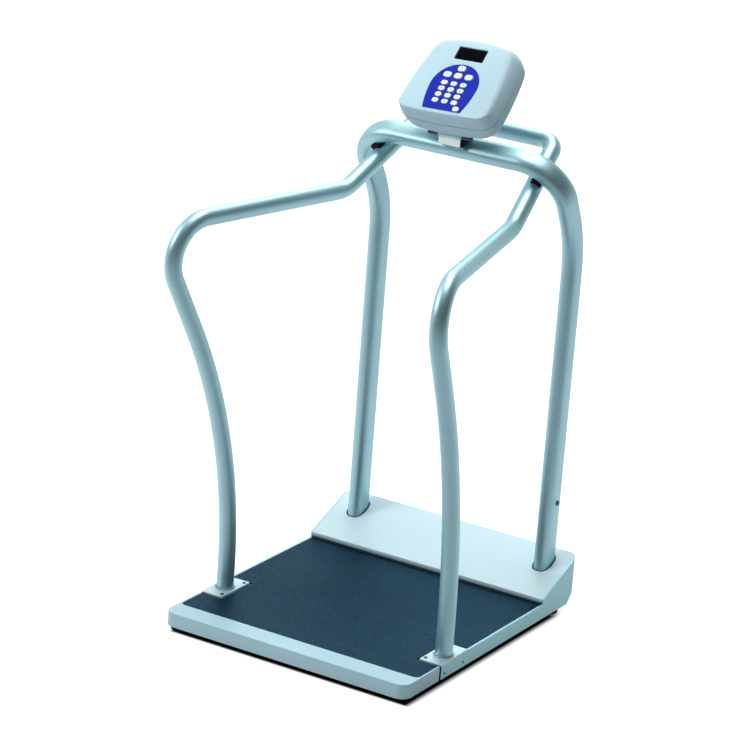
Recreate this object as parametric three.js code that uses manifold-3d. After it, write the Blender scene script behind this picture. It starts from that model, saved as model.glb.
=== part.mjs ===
// Bariatric platform scale with handrails and a swivelling display head.
// Millimetres, +Z up. The user steps on from -Y and faces +Y; +X is at their right hand.
// Heights count from the floor, and depths from the platform's front face, until the last step
// moves the whole scale so that the origin is under the middle of its outline.

import * as THREE from "three";
import { mergeVertices } from "three/addons/utils/BufferGeometryUtils.js";
import Module from "manifold-3d";

const wasm = await Module();
wasm.setup();

// Fits
const seat = 0.3;               // gap where one piece rests on another
const runningGap = 0.5;         // gap round a moving shaft or key

// Platform
const platformWidth = 610;
const platformDepth = 733;
const skirtClearance = 11;      // floor to the skirt's lower edge
const skirtHeight = 33.1;
const skirtWall = 3;
const cornerRadius = 25;
const rearCornerRadius = 22;     // of the rear housing's upright corners
const trimDepth = 54.8;         // width of the bright band along the front
const trimReturnEnd = 137;      // where the front trim ends on each side
const seamWidth = 8;            // open seam between front trim and side panel
const sideBand = 5.2;           // bright lip beside the mat
const matThickness = 3.5;
const matCornerRadius = 12;
const deckThickness = 3;
const deckRearInset = 85;       // from the platform's rear face

// Rear housing
const housingDepth = 151;
const housingLipHeight = 56.6;
const housingRearHeight = 120.2;
const housingWall = 2.5;
const lipFace = 6;              // height of the lip's upright front face
const undercutHeight = 48;      // where the rear wall starts to slope in
const undercutDepth = 33;
const undercutFoot = 16;        // height where that slope ends
const retainerDepth = 14;
const retainerHeight = 5.6;
const uprightHoleGap = 3;

// Base frame
const frameInset = 13;          // from the platform's outer faces
const frameClearance = 5.5;     // floor to the frame's lower edge
const beamWidth = 34;
const beamWall = 3;
const frameRearInset = 36;      // from the platform's rear face
const firstBeam = 240;
const secondBeam = 450;
const postTop = 270;
const postWall = 3;
const postFit = 0.6;

// Feet and load cells
const footRadius = 27;
const footPadHeight = 5;
const footStemRadius = 5;
const footShoulderRadius = 9;
const footFront = 34;
const footRearInset = 78;       // from the platform's rear face
const cellWidth = 22;
const cellLength = 110;
const cellHeight = 18;
const cellBottom = 10;
const cellSpacerLength = 32;
const cellFootInset = 17;       // cell's end to the middle of its foot
const footStemTop = 26;
const cellWindow = { halfLength: 11, wall: 5 };

// Transport wheels
const wheelRadius = 25;
const wheelWidth = 20;
const wheelFloorGap = 4;
const wheelPostGap = 29.9;       // upright's middle to the wheel's middle
const wheelInset = 27;          // from the platform's rear face
const axleRadius = 5;
const bracketWall = 4;
const bracketGap = 1;           // between a wheel's side and its bracket
const bracketReach = 9;         // lug beyond the axle
const wheelWellGap = 2;
const axleEnd = 1.5;            // axle beyond its bracket

// Largest height of arc between a bent tube's stations
const bendHeight = 1.5;

// Handrails: round tube
const railRadius = 19.05;
const railWall = 2;
const railPlate = { width: 53.5, front: 141, rear: 253, thickness: 5.5, corner: 4 };
const plateNotchGap = 4;
const railFoot = { inset: 25.7, y: 195.2 };     // inset from the platform's side
const railKnee = { height: 400.3, bend: 1198 };
const railGrip = { outside: 27.4, lead: 71.1, height: 908.6, bend: 88 };
const railRise = { inside: 37.1, beforeUpright: 219.5, height: 910.6, bend: 90 };
const railBack = { inside: 78.2, behindUpright: 23.7, height: 1047.2, bend: 42 };
const sleeveHalfLength = 60;
const sleeveWall = 3;

// Upright frame: flat-oval tube bent to an upside-down U whose top leans forward
const uprightSideInset = 60.1;   // from the platform's side
const uprightInset = 48.5;      // from the platform's rear face
const ovalHalfLong = 27.4;
const ovalHalfShort = 19.1;
const ovalPower = 2.55;
const uprightWall = 2.5;
const leanStart = 842.6;        // height of the forward bend
const leanBend = 250;
const shoulder = { outside: 9.6, bend: 96 };    // outside of the uprights' middle
const crossbarLean = 112.3;     // forward of the uprights
const crossbarHeight = 1029.9;
const uprightScrewHeight = 244.6;
const uprightScrewRadius = 4;
const uprightScrewHead = { radius: 6.5, height: 2.7 };

// Rubber saddle between each rail and the frame's inside corner
const saddleHalfLength = 26;
const saddleHalfWidth = 12;

// Lead from the junction box up the right upright to the head
const cableRadius = 2.5;
const cableBend = 13;
const cableHeight = 66;
const cableHoleRadius = 6;
const junctionBox = { halfWidth: 55, depth: 42, height: 38, behindDeck: 10 };

// Display head, tilted towards the user and swivelled on the crossbar's bracket
const headTilt = 39.4;
const headTurn = 2.2;
const faceRise = 127.8;         // crossbar's middle to the face, square to the face
const faceLead = -11.5;         // crossbar's middle to the face's lower edge, up the face
const swivelLead = 4;           // crossbar's middle to the swivel's axis, up the face
const headWall = 2.5;
const seamDepth = 38;           // front shell's depth
const headDepth = 79.5;
const headTopBow = 14;          // rise of the upper edge's middle
const headSideBow = 6;          // swell of each side's middle
const bracket = { width: 56, front: -15, rear: 26, wall: 2.5, top: 3, noseDrop: 14.7, noseFoot: 24 };
const headPlate = { halfWidth: 54, front: -1.5, rear: 96, thickness: 4 };
const swivelPad = { radius: 20, thickness: 2 };
const swivelBolt = { radius: 6, headRadius: 9, headHeight: 4, bore: 3.5 };

// Display, keypad and electronics; u runs across the face and v up it
const windowPane = { u: 0.8, v: 162, width: 69, height: 35, thickness: 1.5, recess: 3, lip: 2.5, surround: 3 };
const displayModule = { width: 78, height: 40, thickness: 8 };
const overlayThickness = 1;
const overlay = { footHalf: 45, low: 4.6, bellyHalf: 56, bellyV: 70, shoulderHalf: 34, shoulderV: 103, high: 131.5 };
const keyProud = 1.8;
const keyTravel = 0.8;
const keyFlange = 0.8;
const plungerRadius = 2;
const numberKey = { halfWidth: 8.2, halfHeight: 6.5 };
const functionKey = { halfWidth: 10.3, halfHeight: 8.2 };
const keyColumns = [-23.8, -1, 21.8];
const functionColumns = [-26.6, -1, 24.6];
const numberRows = [76.5, 60.1, 43.7, 27.3];
const functionRow = 99;
const powerRow = 119.5;
const enterKey = [32.9, 12.1];
const board = { halfWidth: 60, low: 8, high: 180, thickness: 1.6 };
const switchHeight = 2;
const switchRadius = 3;
const standoff = { radius: 3.5, u: 54, rows: [16, 134] };
const batteryDoor = { halfWidth: 55, low: 104, high: 156 };
const batteryPack = { halfWidth: 50, inset: 4, thickness: 28 };

// Levels and places worked out from the above
const halfWidth = platformWidth / 2;
const housingFront = platformDepth - housingDepth;
const deckRear = platformDepth - deckRearInset;
const frameRear = platformDepth - frameRearInset;
const footRear = platformDepth - footRearInset;
const uprightX = halfWidth - uprightSideInset;
const uprightY = platformDepth - uprightInset;
const wheelX = uprightX - wheelPostGap;
const wheelY = platformDepth - wheelInset;
const shoulderX = uprightX + shoulder.outside;
const crossbar = { y: uprightY - crossbarLean, height: crossbarHeight };
const railX = halfWidth - railFoot.inset;
const plateInner = halfWidth - railPlate.width;
const crossBeams = [firstBeam, secondBeam];
const trimTop = skirtClearance + skirtHeight;
const deckTop = trimTop - matThickness - seat;
const deckBottom = deckTop - deckThickness;
const frameTop = deckBottom - seat;
const matBottom = deckTop + seat;
const sideStart = trimReturnEnd + seamWidth;
const beamX = halfWidth - frameInset - beamWidth / 2;
const wheelZ = wheelFloorGap + wheelRadius;
const plateTop = matBottom + railPlate.thickness;
const uprightFoot = frameTop + seat;
const plateWallTop = matBottom - seat;
const cellSpacerTop = frameTop - beamWall - seat;

// Materials
const finish = (color, roughness, metalness) => new THREE.MeshStandardMaterial({ color, roughness, metalness });
const satinSteel = finish(0xa9bcc2, 0.38, 0.75);
const brightTrim = finish(0xc4dde4, 0.4, 0.6);
const housingSilver = finish(0xd5e3e8, 0.45, 0.3);
const panelSilver = finish(0x93b0b6, 0.45, 0.4);
const blackSteel = finish(0x15181b, 0.6, 0.4);
const galvanised = finish(0x8a9498, 0.5, 0.7);
const blackRubber = finish(0x101214, 0.85, 0);
const matRubber = finish(0x2c4656, 0.8, 0);
const stripGrey = finish(0x6f848b, 0.5, 0.3);
const headPlastic = finish(0xc3dce3, 0.5, 0);
const keyWhite = finish(0xe6f0f5, 0.5, 0);
const overlayBlue = finish(0x1226b4, 0.45, 0);
const windowBlack = finish(0x05070a, 0.1, 0);
const boardGreen = finish(0x1f5a37, 0.6, 0);
const cellSilver = finish(0xb7bcc0, 0.35, 0.8);
const darkPlastic = finish(0x22282c, 0.6, 0);
const screwSteel = finish(0x4a555a, 0.4, 0.8);

const scale = new THREE.Group();
scale.name = "bariatric_scale";

// Adds one named piece.
function add(name, geometry, material, parent = scale) {
  const mesh = new THREE.Mesh(geometry, material);
  mesh.name = name;
  parent.add(mesh);
  return mesh;
}

// Turns a closed geometry into a solid that can be cut and joined.
function solid(geometry) {
  const bare = geometry.index ? geometry.toNonIndexed() : geometry.clone();
  for (const key of Object.keys(bare.attributes)) {
    if (key !== "position") {
      bare.deleteAttribute(key);
    }
  }
  const merged = mergeVertices(bare, 1e-4);
  return new wasm.Manifold(new wasm.Mesh({
    numProp: 3,
    vertProperties: new Float32Array(merged.attributes.position.array),
    triVerts: new Uint32Array(merged.index.array),
  }));
}

// Turns a solid back into a geometry.
function shaped(body) {
  const mesh = body.getMesh();
  const geometry = new THREE.BufferGeometry();
  geometry.setAttribute("position", new THREE.BufferAttribute(new Float32Array(mesh.vertProperties), 3));
  geometry.setIndex(new THREE.BufferAttribute(new Uint32Array(mesh.triVerts), 1));
  geometry.computeVertexNormals();
  return geometry;
}

// Joins the first list and takes the second away from it.
function build(plus, minus = []) {
  let body = solid(plus[0]);
  for (const geometry of plus.slice(1)) {
    body = body.add(solid(geometry));
  }
  for (const geometry of minus) {
    body = body.subtract(solid(geometry));
  }
  return shaped(body);
}

// A block between two corners.
function block(x0, x1, y0, y1, z0, z1) {
  const geometry = new THREE.BoxGeometry(x1 - x0, y1 - y0, z1 - z0);
  return geometry.translate((x0 + x1) / 2, (y0 + y1) / 2, (z0 + z1) / 2);
}

// An upright round bar.
function rod(radius, z0, z1, x = 0, y = 0, sides = 24) {
  const geometry = new THREE.CylinderGeometry(radius, radius, z1 - z0, sides);
  return geometry.rotateX(Math.PI / 2).translate(x, y, (z0 + z1) / 2);
}

// A closed outline's prism between two heights.
function prism(shape, z0, z1, curveSegments = 6) {
  const geometry = new THREE.ExtrudeGeometry(shape, { depth: z1 - z0, bevelEnabled: false, curveSegments });
  return geometry.translate(0, 0, z0);
}

// An outline drawn in depth and height, carried along X between two places.
function along(points, x0, x1) {
  const shape = new THREE.Shape(points.map(([y, z]) => new THREE.Vector2(y, z)));
  const geometry = new THREE.ExtrudeGeometry(shape, { depth: x1 - x0, bevelEnabled: false });
  // The shape's x, y and depth become Y, Z and X.
  const turn = new THREE.Matrix4().makeBasis(
    new THREE.Vector3(0, 1, 0), new THREE.Vector3(0, 0, 1), new THREE.Vector3(1, 0, 0));
  return geometry.applyMatrix4(turn).translate(x0, 0, 0);
}

// A rectangle with round corners.
function roundedRectangle(x0, x1, y0, y1, radius) {
  const shape = new THREE.Shape();
  shape.moveTo(x0 + radius, y0);
  shape.lineTo(x1 - radius, y0);
  shape.absarc(x1 - radius, y0 + radius, radius, -Math.PI / 2, 0);
  shape.lineTo(x1, y1 - radius);
  shape.absarc(x1 - radius, y1 - radius, radius, 0, Math.PI / 2);
  shape.lineTo(x0 + radius, y1);
  shape.absarc(x0 + radius, y1 - radius, radius, Math.PI / 2, Math.PI);
  shape.lineTo(x0, y0 + radius);
  shape.absarc(x0 + radius, y0 + radius, radius, Math.PI, 1.5 * Math.PI);
  return shape;
}

// A flat oval: a superellipse with its long axis along the shape's y.
function oval(halfX, halfY, sides, power = ovalPower) {
  const points = [];
  for (let i = 0; i < sides; i += 1) {
    const angle = (2 * Math.PI * i) / sides;
    const c = Math.cos(angle);
    const s = Math.sin(angle);
    points.push(new THREE.Vector2(
      halfX * Math.sign(c) * Math.abs(c) ** (2 / power),
      halfY * Math.sign(s) * Math.abs(s) ** (2 / power)));
  }
  return points;
}

// A tube's centre line: straight runs joined by round bends, each in steps that stay within
// an angle and a height of arc.
class BentLine extends THREE.Curve {
  constructor(start, corners, end, degreesPerStep = 13) {
    super();
    const nodes = [start, ...corners.map((corner) => corner.at), end].map((p) => new THREE.Vector3(...p));
    this.stations = [{ point: nodes[0], tangent: nodes[1].clone().sub(nodes[0]).normalize() }];
    for (let i = 1; i < nodes.length - 1; i += 1) {
      this.addBend(nodes[i - 1], nodes[i], nodes[i + 1], corners[i - 1].bend, degreesPerStep);
    }
    const last = nodes.length - 1;
    this.stations.push({ point: nodes[last], tangent: nodes[last].clone().sub(nodes[last - 1]).normalize() });
    this.steps = this.stations.length - 1;
  }

  // The arc that touches both runs at a corner.
  addBend(before, corner, after, bend, degreesPerStep) {
    const into = corner.clone().sub(before).normalize();
    const out = after.clone().sub(corner).normalize();
    const turn = into.angleTo(out);
    const inward = out.clone().sub(into).normalize();
    const centre = corner.clone().addScaledVector(inward, bend / Math.cos(turn / 2));
    const first = corner.clone().addScaledVector(into, -bend * Math.tan(turn / 2)).sub(centre);
    const byHeight = 2 * Math.acos(1 - bendHeight / Math.max(bend, 2 * bendHeight));
    const step = Math.min(THREE.MathUtils.degToRad(degreesPerStep), byHeight);
    const count = Math.max(2, Math.round(turn / step));
    for (let i = 0; i <= count; i += 1) {
      const angle = (turn * i) / count;
      const arm = first.clone().multiplyScalar(Math.cos(angle)).addScaledVector(into, bend * Math.sin(angle));
      const tangent = into.clone().multiplyScalar(Math.cos(angle));
      tangent.addScaledVector(first, -Math.sin(angle) / bend).normalize();
      this.stations.push({ point: centre.clone().add(arm), tangent });
    }
  }

  getPointAt(u, target = new THREE.Vector3()) {
    return target.copy(this.stations[Math.round(u * this.steps)].point);
  }

  getTangentAt(u, target = new THREE.Vector3()) {
    return target.copy(this.stations[Math.round(u * this.steps)].tangent);
  }
}

// A section carried along a centre line, hollow where a bore is given.
function sweep(line, section, bore = null) {
  const shape = new THREE.Shape(section);
  if (bore) {
    shape.holes.push(new THREE.Path(bore));
  }
  return new THREE.ExtrudeGeometry(shape, { steps: line.steps, extrudePath: line, bevelEnabled: false });
}

// Mirrors a geometry from the right to the left side and keeps its faces pointing out.
function mirrored(geometry) {
  const flat = geometry.index ? geometry.toNonIndexed() : geometry.clone();
  flat.scale(-1, 1, 1);
  const position = flat.attributes.position;
  const array = position.array;
  for (let i = 0; i < array.length; i += 9) {
    for (let k = 0; k < 3; k += 1) {
      const keep = array[i + 3 + k];
      array[i + 3 + k] = array[i + 6 + k];
      array[i + 6 + k] = keep;
    }
  }
  const result = new THREE.BufferGeometry();
  result.setAttribute("position", position);
  result.computeVertexNormals();
  return result;
}

// Adds a piece on the right and its mirror image on the left.
function addPair(name, geometry, material, parent = scale) {
  add(`${name}_right`, geometry, material, parent);
  add(`${name}_left`, mirrored(geometry), material, parent);
}

// Base frame: folded channel beams, open below, with the two upright posts and the wheel brackets.
const beamCeiling = frameTop - beamWall;
const beams = [
  [-beamX - beamWidth / 2, -beamX + beamWidth / 2, frameInset, frameRear],
  [beamX - beamWidth / 2, beamX + beamWidth / 2, frameInset, frameRear],
  [-beamX, beamX, frameInset, frameInset + beamWidth],
  [-beamX, beamX, frameRear - beamWidth, frameRear],
  ...crossBeams.map((y) => [-beamX, beamX, y, y + beamWidth]),
];
const postSection = (inset) => oval(
  ovalHalfShort - uprightWall - postFit - inset, ovalHalfLong - uprightWall - postFit - inset, 12);
const framePlus = [];
const frameMinus = [];
for (const [x0, x1, y0, y1] of beams) {
  framePlus.push(block(x0, x1, y0, y1, frameClearance, frameTop));
  const insetX = x0 === -beamX ? 0 : beamWall;
  frameMinus.push(block(x0 + insetX, x1 - insetX, y0 + beamWall, y1 - beamWall, 0, beamCeiling));
}
const bracketFront = frameRear - beamWall;
const bracketHalf = wheelWidth / 2 + bracketGap;
for (const side of [-1, 1]) {
  const post = prism(new THREE.Shape(postSection(0)), beamCeiling + beamWall / 2, postTop);
  framePlus.push(post.translate(side * uprightX, uprightY, 0));
  const bore = prism(new THREE.Shape(postSection(postWall)), frameTop + postWall, postTop + 1);
  frameMinus.push(bore.translate(side * uprightX, uprightY, 0));
  for (const cheek of [-1, 1]) {
    const middle = side * wheelX + cheek * (bracketHalf + bracketWall / 2);
    framePlus.push(block(middle - bracketWall / 2, middle + bracketWall / 2,
      bracketFront, wheelY + bracketReach, wheelZ - bracketReach, frameTop));
  }
  const wheelWell = block(side * wheelX - bracketHalf, side * wheelX + bracketHalf,
    wheelY - wheelRadius - wheelWellGap, wheelY + wheelRadius, 0, frameTop + 1);
  frameMinus.push(wheelWell);
}
const axleHole = rod(axleRadius + seat, -wheelX - 60, wheelX + 60).rotateY(Math.PI / 2);
frameMinus.push(axleHole.translate(0, wheelY, wheelZ));

// Holes through the uprights' walls and the posts': the lead's way in, and one locking screw a side.
const cableHole = rod(cableHoleRadius, uprightX - 2 * ovalHalfShort, uprightX).rotateY(Math.PI / 2);
cableHole.translate(0, uprightY, cableHeight);
const uprightHoles = [cableHole];
for (const side of [-1, 1]) {
  const outside = side * (uprightX + 2 * ovalHalfShort);
  const span = [side * uprightX, outside].sort((a, b) => a - b);
  const hole = rod(uprightScrewRadius + seat, span[0], span[1], 0, 0, 16).rotateY(Math.PI / 2);
  uprightHoles.push(hole.translate(0, uprightY, uprightScrewHeight));
}
add("base_frame", build(framePlus, [...frameMinus, ...uprightHoles]), blackSteel);

// Deck plate on the frame.
const deckHalf = halfWidth - skirtWall - seat;
add("deck_plate", prism(roundedRectangle(-deckHalf, deckHalf, skirtWall + seat, deckRear,
  cornerRadius - skirtWall), deckBottom, deckTop), galvanised);

// Front trim: bright band with a skirt that runs round both front corners.
function frontOutline(inset, rear) {
  const radius = cornerRadius - inset;
  const shape = new THREE.Shape();
  shape.moveTo(-halfWidth + inset, rear);
  shape.lineTo(-halfWidth + inset, cornerRadius);
  shape.absarc(-halfWidth + cornerRadius, cornerRadius, radius, Math.PI, 1.5 * Math.PI);
  shape.lineTo(halfWidth - cornerRadius, inset);
  shape.absarc(halfWidth - cornerRadius, cornerRadius, radius, 1.5 * Math.PI, 2 * Math.PI);
  shape.lineTo(halfWidth - inset, rear);
  return shape;
}
const matHalf = halfWidth - sideBand;
const matOpening = roundedRectangle(-matHalf, matHalf, trimDepth, trimReturnEnd + 60, matCornerRadius);
add("front_trim", build(
  [prism(frontOutline(0, trimReturnEnd), skirtClearance, trimTop, 8)],
  [
    prism(frontOutline(skirtWall, trimReturnEnd + 1), skirtClearance - 1, matBottom, 8),
    prism(matOpening, matBottom - 1, trimTop + 1),
  ]), brightTrim);

// What lies outside a rear corner's arc, to round the platform's rear corners.
function rearCorner(radius, side) {
  const x = halfWidth - rearCornerRadius;
  const y = platformDepth - rearCornerRadius;
  const points = [];
  for (let i = 0; i <= 10; i += 1) {
    const angle = (Math.PI / 20) * i;
    points.push([x + radius * Math.cos(angle), y + radius * Math.sin(angle)]);
  }
  points.push([x, platformDepth + 1], [halfWidth + 1, platformDepth + 1], [halfWidth + 1, y]);
  const shape = new THREE.Shape(points.map((p) => new THREE.Vector2(side * p[0], p[1])));
  return prism(shape, -2, housingRearHeight + 1);
}

// Side panel: skirt, bright lip beside the mat, and the cheek that closes the rear housing's end.
const lipRear = railPlate.rear + seat;
const panelOutline = [
  [sideStart, skirtClearance],
  [platformDepth - undercutDepth, skirtClearance],
  [platformDepth - undercutDepth, undercutFoot],
  [platformDepth, undercutHeight],
  [platformDepth, housingRearHeight],
  [housingFront, housingLipHeight],
  [housingFront, trimTop],
  [lipRear, trimTop],
  [lipRear, plateWallTop],
  [sideStart, plateWallTop],
];
const sidePanel = build([
  along(panelOutline, halfWidth - skirtWall, halfWidth),
  block(matHalf, halfWidth - skirtWall / 2, lipRear, housingFront, matBottom, trimTop),
], [rearCorner(rearCornerRadius, 1)]);
addPair("side_panel", sidePanel, panelSilver);

// Mat, notched round the rail plates.
const matSide = matHalf - seat;
const matRear = housingFront - seat;
const notches = [-1, 1].map((side) => {
  const inner = plateInner - plateNotchGap;
  const outer = halfWidth;
  const x = side > 0 ? [inner, outer] : [-outer, -inner];
  return block(x[0], x[1], railPlate.front - plateNotchGap, railPlate.rear + plateNotchGap,
    matBottom - 1, trimTop + 1);
});
add("platform_mat", build(
  [prism(roundedRectangle(-matSide, matSide, trimDepth + seat, matRear, matCornerRadius), matBottom, trimTop)],
  notches), matRubber);

// Retainer strip that holds the mat's rear edge under the housing's lip.
add("mat_retainer", build([block(-matSide, matSide, housingFront - 3, housingFront - 3 + retainerDepth,
  trimTop + seat, trimTop + seat + retainerHeight)]), stripGrey);

// Rear housing: a folded cover, open below and at both ends, with holes for the two uprights.
const coverHalf = halfWidth - skirtWall - seat;
const lipLow = housingLipHeight - lipFace;
const coverOutside = [
  [housingFront, lipLow],
  [housingFront + 2 * housingWall, lipLow],
  [platformDepth - undercutDepth, undercutFoot],
  [platformDepth, undercutHeight],
  [platformDepth, housingRearHeight],
  [housingFront, housingLipHeight],
];
const slopeRun = platformDepth - housingFront;
const slopeRise = housingRearHeight - housingLipHeight;
const slopeWall = (housingWall * Math.hypot(slopeRun, slopeRise)) / slopeRun;
const coverInside = [
  [housingFront + housingWall, -1],
  [platformDepth - undercutDepth - housingWall, -1],
  [platformDepth - undercutDepth - housingWall, undercutFoot + housingWall / 2],
  [platformDepth - housingWall, undercutHeight + housingWall / 2],
  [platformDepth - housingWall, housingRearHeight - slopeWall],
  [housingFront + housingWall, housingLipHeight - slopeWall + 1],
];
const innerCorner = rearCornerRadius - housingWall;
const coverHollow = build(
  [along(coverInside, -coverHalf - 1, coverHalf + 1)],
  [rearCorner(innerCorner, 1), rearCorner(innerCorner, -1)]);
const coverMinus = [coverHollow, rearCorner(rearCornerRadius, 1), rearCorner(rearCornerRadius, -1)];
coverMinus.push(block(-coverHalf - 1, coverHalf + 1, housingFront + housingWall, platformDepth - undercutDepth,
  -1, lipLow));
for (const side of [-1, 1]) {
  const hole = prism(new THREE.Shape(oval(ovalHalfShort + uprightHoleGap, ovalHalfLong + uprightHoleGap, 28)),
    undercutHeight, housingRearHeight + 10);
  coverMinus.push(hole.translate(side * uprightX, uprightY, 0));
  coverMinus.push(block(side * wheelX - bracketHalf - bracketWall - 2, side * wheelX + bracketHalf + bracketWall + 2,
    wheelY - wheelRadius - wheelWellGap, platformDepth + 1, 0, wheelZ + wheelRadius + wheelWellGap));
}
add("rear_housing", build([along(coverOutside, -coverHalf, coverHalf)], coverMinus), housingSilver);

// Load cells inside the side beams, each with a levelling foot at its free end.
const cellPlaces = [
  ["front", footFront, 1],
  ["rear", footRear, -1],
];
for (const [place, footY, inward] of cellPlaces) {
  const end = footY - inward * cellFootInset;
  const far = end + inward * cellLength;
  const spacer = far - inward * cellSpacerLength;
  const cell = build(
    [
      block(beamX - cellWidth / 2, beamX + cellWidth / 2, Math.min(end, far), Math.max(end, far),
        cellBottom, cellBottom + cellHeight),
      block(beamX - cellWidth / 2, beamX + cellWidth / 2, Math.min(spacer, far), Math.max(spacer, far),
        cellBottom + cellHeight - 1, cellSpacerTop),
    ],
    [
      rod(footStemRadius + seat, cellBottom - 1, cellBottom + cellHeight + 1, beamX, footY, 16),
      // The strain gauges' window through the middle of the bar
      block(beamX - cellWidth, beamX + cellWidth,
        (end + far) / 2 - cellWindow.halfLength, (end + far) / 2 + cellWindow.halfLength,
        cellBottom + cellWindow.wall, cellBottom + cellHeight - cellWindow.wall),
    ]);
  addPair(`load_cell_${place}`, cell, cellSilver);
  const foot = build([
    rod(footRadius, 0, footPadHeight, beamX, footY, 24),
    rod(footShoulderRadius, footPadHeight - 1, cellBottom - seat, beamX, footY, 12),
    rod(footStemRadius, footPadHeight, footStemTop, beamX, footY, 12),
  ]);
  addPair(`foot_${place}`, foot, blackRubber);
}

// Transport wheels on one axle through the rear brackets.
const wheelBody = build(
  [rod(wheelRadius, -wheelWidth / 2, wheelWidth / 2, 0, 0, 28)],
  [rod(axleRadius + runningGap, -wheelWidth, wheelWidth, 0, 0, 20)]);
wheelBody.rotateY(Math.PI / 2).translate(wheelX, wheelY, wheelZ);
addPair("transport_wheel", wheelBody, blackRubber);
const axleHalf = bracketHalf + bracketWall + axleEnd;
addPair("wheel_axle", rod(axleRadius, -axleHalf, axleHalf, 0, 0, 20).rotateY(Math.PI / 2)
  .translate(wheelX, wheelY, wheelZ), cellSilver);

// Junction box that joins the four cells' leads, on the frame's rear beam inside the housing.
const junctionFront = deckRear + junctionBox.behindDeck;
add("junction_box", block(-junctionBox.halfWidth, junctionBox.halfWidth, junctionFront,
  junctionFront + junctionBox.depth, frameTop + seat, frameTop + seat + junctionBox.height), darkPlastic);

// Handrails: a foot plate, and a bent tube whose two halves meet behind the display head.
const plateShape = roundedRectangle(plateInner, halfWidth, railPlate.front, railPlate.rear, railPlate.corner);
addPair("rail_plate", prism(plateShape, matBottom, plateTop, 4), satinSteel);
const railRear = uprightY + railBack.behindUpright;
const railCorners = [           // x, y, height of the right rail's corners, and the bend at each
  { at: [railX, railFoot.y, railKnee.height], bend: railKnee.bend },
  { at: [halfWidth + railGrip.outside, -railGrip.lead, railGrip.height], bend: railGrip.bend },
  { at: [uprightX - railRise.inside, uprightY - railRise.beforeUpright, railRise.height], bend: railRise.bend },
  { at: [uprightX - railBack.inside, railRear, railBack.height], bend: railBack.bend },
];
const railLine = new BentLine(
  [railX, railFoot.y, plateTop + seat],
  railCorners,
  [seat / 2, railRear, railBack.height]);
const round = (radius, sides) => oval(radius, radius, sides, 2);
const handrail = sweep(railLine, round(railRadius, 16), round(railRadius - railWall, 10));
addPair("handrail", handrail, satinSteel);
const sleeveOutside = railRadius - railWall - 1;
add("handrail_sleeve", build(
  [rod(sleeveOutside, -sleeveHalfLength, sleeveHalfLength)],
  [rod(sleeveOutside - sleeveWall, -sleeveHalfLength - 1, sleeveHalfLength + 1)])
  .rotateY(Math.PI / 2).translate(0, railRear, railBack.height), galvanised);

// Upright frame.
const archCorners = [
  { at: [uprightX, uprightY, leanStart], bend: leanBend },
  { at: [shoulderX, crossbar.y, crossbar.height], bend: shoulder.bend },
  { at: [-shoulderX, crossbar.y, crossbar.height], bend: shoulder.bend },
  { at: [-uprightX, uprightY, leanStart], bend: leanBend },
];
const archLine = new BentLine([uprightX, uprightY, uprightFoot], archCorners, [-uprightX, uprightY, uprightFoot]);
// The sweep's frame puts the section's first axis along the depth and its second across.
const archSection = (grow, sides) => oval(ovalHalfLong + grow, ovalHalfShort + grow, sides);
const tilt = new THREE.Matrix4().makeRotationX(THREE.MathUtils.degToRad(headTilt));
const onCrossbar = (geometry) => geometry.applyMatrix4(tilt).translate(0, crossbar.y, crossbar.height);
const cableExit = onCrossbar(rod(cableHoleRadius, 0, 2 * ovalHalfLong, 0, swivelLead, 16));
add("upright_frame", build(
  [sweep(archLine, archSection(0, 20), archSection(-uprightWall, 12))],
  [...uprightHoles, cableExit]), satinSteel);

// Locking screw through each upright into its post.
const screwReach = ovalHalfShort - uprightWall - postFit - postWall - 2;
const uprightScrew = build([
  rod(uprightScrewRadius, screwReach, ovalHalfShort + 1, 0, 0, 16),
  rod(uprightScrewHead.radius, ovalHalfShort + seat, ovalHalfShort + seat + uprightScrewHead.height, 0, 0, 16),
]);
uprightScrew.rotateY(Math.PI / 2).translate(uprightX, uprightY, uprightScrewHeight);
addPair("upright_screw", uprightScrew, screwSteel);

// Rubber saddle: a block where rail and frame come nearest, hollowed by both tubes.
const nearest = { gap: Infinity, rail: new THREE.Vector3(), frame: new THREE.Vector3(), run: new THREE.Vector3() };
const railRun = new THREE.Line3();
const archPoint = new THREE.Vector3();
const railPoint = new THREE.Vector3();
for (let i = 1; i < archLine.stations.length; i += 1) {
  for (let k = 0; k <= 8; k += 1) {
    archPoint.lerpVectors(archLine.stations[i - 1].point, archLine.stations[i].point, k / 8);
    for (let j = 1; j < railLine.stations.length; j += 1) {
      railRun.set(railLine.stations[j - 1].point, railLine.stations[j].point);
      railRun.closestPointToPoint(archPoint, true, railPoint);
      const gap = railPoint.distanceTo(archPoint);
      if (gap < nearest.gap) {
        nearest.gap = gap;
        nearest.rail.copy(railPoint);
        nearest.frame.copy(archPoint);
        railRun.delta(nearest.run).normalize();
      }
    }
  }
}
const towardsFrame = nearest.frame.clone().sub(nearest.rail).normalize();
const acrossRail = towardsFrame.clone().cross(nearest.run).normalize();
const alongRail = acrossRail.clone().cross(towardsFrame).normalize();
const saddleBlock = block(-saddleHalfLength, saddleHalfLength, -saddleHalfWidth, saddleHalfWidth,
  railRadius / 2, nearest.gap - ovalHalfShort / 2);
saddleBlock.applyMatrix4(new THREE.Matrix4().makeBasis(alongRail, acrossRail, towardsFrame));
saddleBlock.translate(nearest.rail.x, nearest.rail.y, nearest.rail.z);
const archOutside = sweep(archLine, archSection(seat, 20));
addPair("rail_saddle", build([saddleBlock], [sweep(railLine, round(railRadius + seat, 16)), archOutside]),
  blackRubber);

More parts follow.
